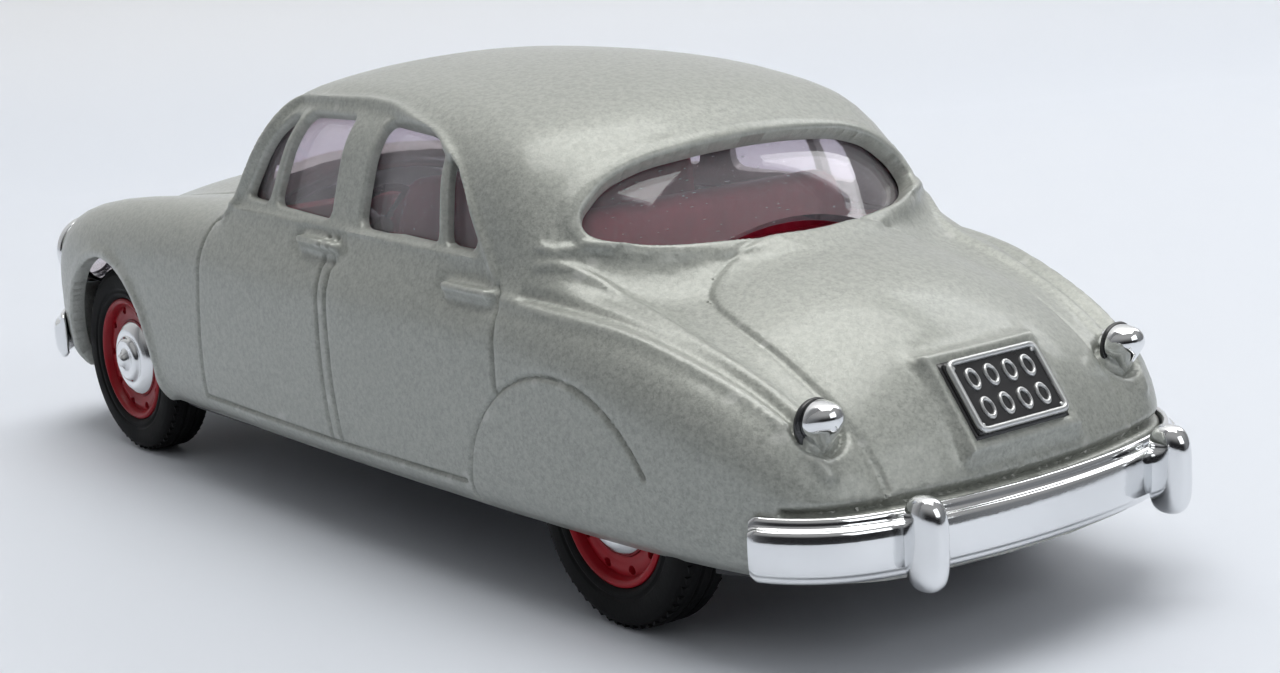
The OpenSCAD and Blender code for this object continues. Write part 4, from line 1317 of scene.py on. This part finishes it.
def buildRim(look):
    w = tyreLook["width"]
    well = look["cap"] + 0.03
    front = roundedProfile([(0.74, -1.25), (well, -1.25), (well, -0.88), (3.55, -0.86)], 0.06, 2)
    disc = [(q, -0.86 + 0.10 * math.sin((q - 3.55) / 0.9 * math.pi)) for q in np.arange(3.6, 4.46, 0.055)]
    outer = roundedProfile([(4.48, -0.62), (4.62, -0.32), (4.85, -0.17), (5.08, -0.3), (5.09, 0.32 - w),
                            (4.6, 0.3 - w), (4.4, -2.2), (2.2, -2.2), (2.2, -3.9), (0.76, -3.9)], 0.07, 2)
    v, f = latheAround((front + disc + outer), 300, closedProfile=True)
    radius, angle = np.hypot(v[:, 0], v[:, 1]), np.arctan2(v[:, 1], v[:, 0])
    step = 2 * math.pi / look["holes"]
    away = (angle + step / 2) % step - step / 2
    d = np.hypot(radius - look["holeAt"], look["holeAt"] * away)
    facing = (v[:, 2] > -1.0) & (radius > 3.56) & (radius < 4.47)
    v[facing, 2] -= 0.75 * smoothStep(look["holeRadius"] - d[facing], -0.03, 0.06)
    return v, [tuple(reversed(q)) for q in f]


capProfile = [(0, -1.22), (3.18, -1.22), (3.2, -0.78), (3.1, -0.62), (2.86, -0.42), (2.5, -0.22), (2.2, -0.16),
              (1.98, -0.2), (1.84, -0.08), (1.74, 0.1), (1.55, 0.2), (1.2, 0.2), (1.0, 0.16), (0.82, 0.26),
              (0.62, 0.4), (0.5, 0.6), (0.3, 0.7), (0, 0.72)]

for x, face, word, body in ((wheels["frontX"], wheels["frontFace"], "front", "front_wheelset"),
                            (wheels["rearX"], wheels["rearFace"], "rear", "rear_wheelset")):
    for side, hand in ((1, "left"), (-1, "right")):
        place = wheelPlace(x, face, side, wheels["axleZ"])
        ending = word.title() + hand.title()
        v, f, _ = buildTyre(tyreLook, rimLook)
        tyre = makePiece("tyre" + ending, placed(v, place), f, [rubber], body, sharp=45)
        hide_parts("tyre_" + word + "_" + hand)
        v, f = buildRim(rimLook)
        rimPiece = makePiece("rim" + ending, placed(v, place), f, [redWheel], body, sharp=45)
        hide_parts("wheel_" + word + "_" + hand)
        v, f = turned(capProfile, 0.08, 96, 2)
        cap = makePiece("cap" + ending, placed(v, place), f, [hubChrome], body, sharp=60)
        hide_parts("hub_cap_" + word + "_" + hand)
print("wheels built")

# ---- plates ----


def plateDetails(halfWide, halfHigh, dots):
    # black plate with a raised silver border on a wider black backing that shows round it as painted shadow, plain
    # rings for characters and rivet heads, face up along Z
    corner = np.array([halfHigh, halfWide, 0])
    # the second box is the wider black backing, a painted shadow round the plate
    parts = [(*roundedBox(-corner, corner + (0, 0, 0.52), 0.16, 0.3), 0),
             (*roundedBox(-corner - (0.2, 0.2, 0.5), corner + (0.2, 0.2, 0.12), 0.1, 0.4), 0)]
    a, b = halfHigh - 0.16, halfWide - 0.16
    path = roundedProfile([(-a, -b), (a, -b), (a, b), (-a, b)], 0.5, 5, closed=True)
    tube, n = [], len(path)
    for i in range(n):
        a, b = np.array(path[i - 1]), np.array(path[(i + 1) % n])
        t = (b - a) / np.linalg.norm(b - a)
        for q in np.linspace(0, 2 * math.pi, 10, endpoint=False):
            off = 0.2 * math.cos(q)
            tube.append((path[i][0] + t[1] * off, path[i][1] - t[0] * off, 0.54 + 0.24 * math.sin(q)))
    parts.append((np.array(tube), sweptFaces(n, 10, loop=True), 1))
    ring = torus(0.56, 0.14, 28, 10)
    for row in (-0.98, 0.98):
        for k in (-1.5, -0.5, 0.5, 1.5):
            spot = ring[0] * np.array([1.1, 0.72, 1.1]) + np.array([row, 1.55 * k, 0.55])
            parts.append((spot, ring[1], 1))
    v, f = grown(rowGroup, Count=dots, Step=(2 * halfWide - 0.9) / (dots - 1) * mm,
                 Size=(0.15 * mm, 0.15 * mm, 0.10 * mm), Material=plateSilver)
    v = v - np.array([halfWide - 0.45, 0, 0])
    for row in (-halfHigh + 0.5, halfHigh - 0.5):
        parts.append((np.stack([v[:, 1] + row, v[:, 0], v[:, 2] + 0.53], -1), f, 1))
    return joinMeshes(parts)


rearPlace = Matrix.Translation(plateSetup["place"]) @ Matrix.Rotation(math.pi, 4, "Z") @ Matrix.Rotation(
    plateLean, 4, "Y")
frontPlace = Matrix.Translation((52.98, 0, 8.3)) @ Matrix.Rotation(math.radians(90), 4, "Y")
v, f, marks = plateDetails(plateSetup["halfWidth"], plateSetup["halfHeight"], 2)
for word, verts in (("rear", placed(v + np.array([0, 0, 0.04]), rearPlace)),
                    ("front", placed(v * np.array([0.62, 0.9, 0.6]), frontPlace))):
    plate = makePiece(word + "Plate", verts, f, [plateBlack, plateSilver], "car", marks, sharp=45)
    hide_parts("number_plate_" + word)

# ---- lamps and grille ----


def buildTailLamp(side):
    # a bullet that points rearwards, with a keel that runs down to a point, backed by a black disc that shows as
    # painted shadow round its base
    place = np.array(tailLamp["place"])
    section = roundedProfile([(-1.4, 1.0), (-0.62, 1.2), (-0.6, 1.36), (-0.2, 1.34), (0.3, 1.16), (0.75, 0.94),
                              (1.02, 0.7), (1.2, 0.36), (1.25, 0.0)], 0.2, 3)
    verts, m = [], 40
    for along, wide in section:
        lift = 0.32 * smoothStep(along, -0.6, 1.2)
        keel = 0.62 * (1 - smoothStep(along, -0.3, 1.0))
        for a in np.linspace(0, 2 * math.pi, m, endpoint=False):
            below = max(0.0, -math.cos(a))
            low = below ** 6
            reach = max(wide, 0.001) * (1 - 0.22 * below ** 1.5 * (1 - low))
            verts.append(place + (-along, reach * math.sin(a), reach * math.cos(a) - keel * low + lift))
    # black disc behind the lamp, offset outboard and down: a painted shadow round the base
    shadowDisc = latheAround([(0, 0), (1.5, 0), (1.56, 0.12), (1.5, 0.3), (0, 0.3)], 48)
    spot = Matrix.Translation(Vector(place) + Vector((0.62, 0.1, -0.1))) @ Matrix.Rotation(math.radians(90), 4, "Y")
    v, f, marks = joinMeshes([(np.array(verts), sweptFaces(len(section), m, caps=True), 0),
                              (placed(shadowDisc[0], spot), shadowDisc[1], 1)])
    return v * np.array([1, side, 1]), f, marks


for side, hand in ((1, "left"), (-1, "right")):
    v, f, marks = buildTailLamp(side)
    lamp = makePiece("tailLamp" + hand.title(), v, f, [chrome, plateBlack], "car", marks)
    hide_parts("tail_lamp_" + hand)
    ahead = Matrix.Translation((48.9, 13 * side, 15)) @ Matrix.Rotation(math.radians(90), 4, "Y")
    v, f = turned([(2.22, -3), (2.5, -3), (2.5, -1.3), (2.5, 0.2), (2.92, 0.3), (2.98, 0.9), (2.7, 1.5), (2.22, 1.6)],
                  0.12, 96, closed=True)
    # plated ring, sleeve in body paint, and a black inner end as painted shade inside the wing
    far = [max(v[i][2] for i in q) for q in f]
    marks = [1 if d < -1.1 else 2 if d < 0.25 else 0 for d in far]
    bezel = makePiece("lampRim" + hand.title(), placed(v, ahead), f, [chrome, plateBlack, paint], "car", marks)
    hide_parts("headlamp_bezel_" + hand)
    v, f = turned([(0, 0), (2.18, 0), (2.18, 1.45), (1.6, 1.86), (0.9, 2.12), (0, 2.24)], 0.15, 96)
    v[:, 2] += 0.03 * np.cos(v[:, 1] * 9.0) * (v[:, 2] > 1.2)  # flutes
    lens = makePiece("lampLens" + hand.title(), placed(v, ahead), f, [glass], "car")
    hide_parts("headlamp_lens_" + hand)
    low = Matrix.Translation((50.4, 7.4 * side, 12.3)) @ Matrix.Rotation(math.radians(90), 4, "Y")
    v, f = turned([(0, -3), (0.7, -3), (0.7, 0.4), (1.2, 1.0), (1.38, 1.5), (1.25, 1.78), (0.95, 1.7), (0.7, 1.95),
                   (0, 2.08)], 0.12, 64)
    fog = makePiece("fogLamp" + hand.title(), placed(v, low), f, [chrome], "car")
    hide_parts("fog_lamp_" + hand)


def buildGrille():
    ahead = Matrix.Translation((50.4, 0, 13.2)) @ Matrix.Rotation(math.radians(90), 4, "Y")
    rim = turned([(3.5, -2.4), (4.12, -2.4), (4.12, 1.35), (3.85, 1.62), (3.55, 1.5)], 0.14, 96, closed=True)
    parts = [(placed(rim[0], ahead), rim[1], 0)]
    back = latheAround([(0, 0), (3.6, 0), (3.6, 0.42), (0, 0.42)], 64)
    parts.append((placed(back[0], ahead), back[1], 1))
    slats, f = grown(rowGroup, Count=9, Step=0.76 * mm, Size=(0.19 * mm, 1.0 * mm, 0.42 * mm), Material=chrome)
    slats = slats - np.array([0.76 * 4, 0, 0])
    reach = np.sqrt(np.maximum(12.2 - np.round(slats[:, 0] / 0.76).astype(int) ** 2 * 0.5776, 0.5))
    slats[:, 1] = np.sign(slats[:, 1]) * np.abs(slats[:, 1]) ** 0.5 * reach
    # slats stand upright: local X across the car, local Y up
    v = np.stack([50.4 + 0.62 + slats[:, 2], slats[:, 0], 13.2 + slats[:, 1]], -1)
    parts.append((v, f, 0))
    v, f, marks = joinMeshes(parts)
    low = (v[:, 2] < 11.0) & (v[:, 0] > 51.45)
    v[low, 0] = 51.45
    return v, f, marks


v, f, marks = buildGrille()
grille = makePiece("grilleFace", v, f, [chrome, plateBlack], "car", marks)
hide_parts("grille")
print("lamps built")

# ---- pieces kept as designed, with their finishes ----

for name, mat in (("base_plate", blackBase), ("axle_front", steel), ("axle_rear", steel), ("base_screw_front", steel),
                  ("base_screw_rear", steel)):
    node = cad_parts[name]
    node.data.materials.clear()
    node.data.materials.append(mat)

# ---- floor, backdrop and lights ----

stageSetup = {
    "floor": (0.73, 0.765, 0.83, 1),
    "wall": (0.97, 0.955, 0.94, 1),
    "sweepStart": 0.185,
    "sweepBend": 0.05,
    "overhead": 2.7,  # watts
    "back": 0.75,
    "fill": 0.62,
    "world": 0.355,
}


def makeStage(setup):
    # a pale floor that rises behind the car in one sweep, in the direction the camera looks
    forward = Vector((0.946, -0.32, 0)).normalized()
    side = Vector((-forward.y, forward.x, 0))
    start, bend = setup["sweepStart"], setup["sweepBend"]
    profile = [(-3.0, 0.0), (-0.6, 0.0), (start, 0.0)]
    profile += [(start + bend * math.sin(a), bend * (1 - math.cos(a))) for a in np.linspace(0.1, math.pi / 2, 14)]
    profile += [(start + bend, 1.6)]
    verts, faces = [], []
    for along, height in profile:
        for across in (-3.0, 3.0):
            v = forward * along + side * across
            verts.append((v.x / mm, v.y / mm, height / mm))
    for k in range(len(profile) - 1):
        faces.append((2 * k + 1, 2 * k, 2 * k + 2, 2 * k + 3))
    data = bpy.data.meshes.new("sweep")
    data.from_pydata([tuple(c * mm for c in v) for v in verts], [], faces)
    data.shade_smooth()
    mat, tree, shader = newMaterial("paperSweep", Roughness=0.55)
    grain = useGroup(tree, grainGroup, Scale=700.0, Amount=1.0)
    spot = addNode(tree, "ShaderNodeTexCoord")
    height = addNode(tree, "ShaderNodeSeparateXYZ")
    tree.links.new(spot.outputs["Object"], height.inputs[0])
    base = mixColors(tree, ramp(tree, height.outputs[2], 0.0, 0.05), setup["floor"], setup["wall"])
    base = mixColors(tree, mathNode(tree, "MULTIPLY", grain.outputs["Patches"], 0.02), base, (0.9, 0.9, 0.9, 1))
    tree.links.new(base, shader.inputs["Base Color"])
    bumpInto(tree, shader, grain.outputs["Height"], 0.00002, 0.2)
    # seen from behind or below, the sweep lets the camera look through
    geo, path = addNode(tree, "ShaderNodeNewGeometry"), addNode(tree, "ShaderNodeLightPath")
    hidden = mathNode(tree, "MULTIPLY", geo.outputs["Backfacing"], path.outputs["Is Camera Ray"])
    tree.links.new(mathNode(tree, "SUBTRACT", 1.0, hidden), shader.inputs["Alpha"])
    data.materials.append(mat)
    obj = bpy.data.objects.new("sweep", data)
    scene.collection.objects.link(obj)


def makeLight(name, place, target, size, power, color=(1, 1, 1), sizeY=None):
    data = bpy.data.lights.new(name, "AREA")
    data.shape = "RECTANGLE"
    data.size = size
    data.size_y = sizeY or size
    data.energy = power
    data.color = color
    obj = bpy.data.objects.new(name, data)
    obj.location = place
    obj.rotation_euler = (Vector(target) - Vector(place)).to_track_quat("-Z", "Y").to_euler()
    scene.collection.objects.link(obj)
    return obj


def makeWorld(strength):
    world = bpy.data.worlds.new("studio")
    scene.world = world
    world.use_nodes = True
    tree = world.node_tree
    back = tree.nodes["Background"]
    spot = addNode(tree, "ShaderNodeTexCoord")
    split = addNode(tree, "ShaderNodeSeparateXYZ")
    tree.links.new(spot.outputs["Generated"], split.inputs[0])
    rise = ramp(tree, split.outputs[2], 0.15, 0.75)
    toward = addNode(tree, "ShaderNodeVectorMath", operation="DOT_PRODUCT")
    tree.links.new(spot.outputs["Generated"], toward.inputs[0])
    toward.inputs[1].default_value = (-0.78, 0.6, -0.1)
    dim = ramp(tree, toward.outputs["Value"], 0.2, 0.8)
    near = mixColors(tree, dim, (0.55, 0.57, 0.6, 1), (0.05, 0.05, 0.055, 1))
    tree.links.new(mixColors(tree, rise, near, (1, 1, 1, 1)), back.inputs[0])
    back.inputs[1].default_value = strength


makeStage(stageSetup)
makeLight("overhead", (0.05, -0.06, 0.62), (-0.01, 0, 0), 0.55, stageSetup["overhead"], (1.0, 1.0, 0.98), 0.45)
makeLight("back", (0.10, -0.42, 0.36), (0, 0, 0.02), 0.35, stageSetup["back"], (0.98, 0.99, 1.0), 0.25)
makeLight("fill", (-0.52, -0.04, 0.30), (-0.02, 0, 0.01), 0.4, stageSetup["fill"], (0.96, 0.98, 1.0), 0.3)
makeWorld(stageSetup["world"])
scene.view_settings.view_transform = "Standard"
print("stage built")
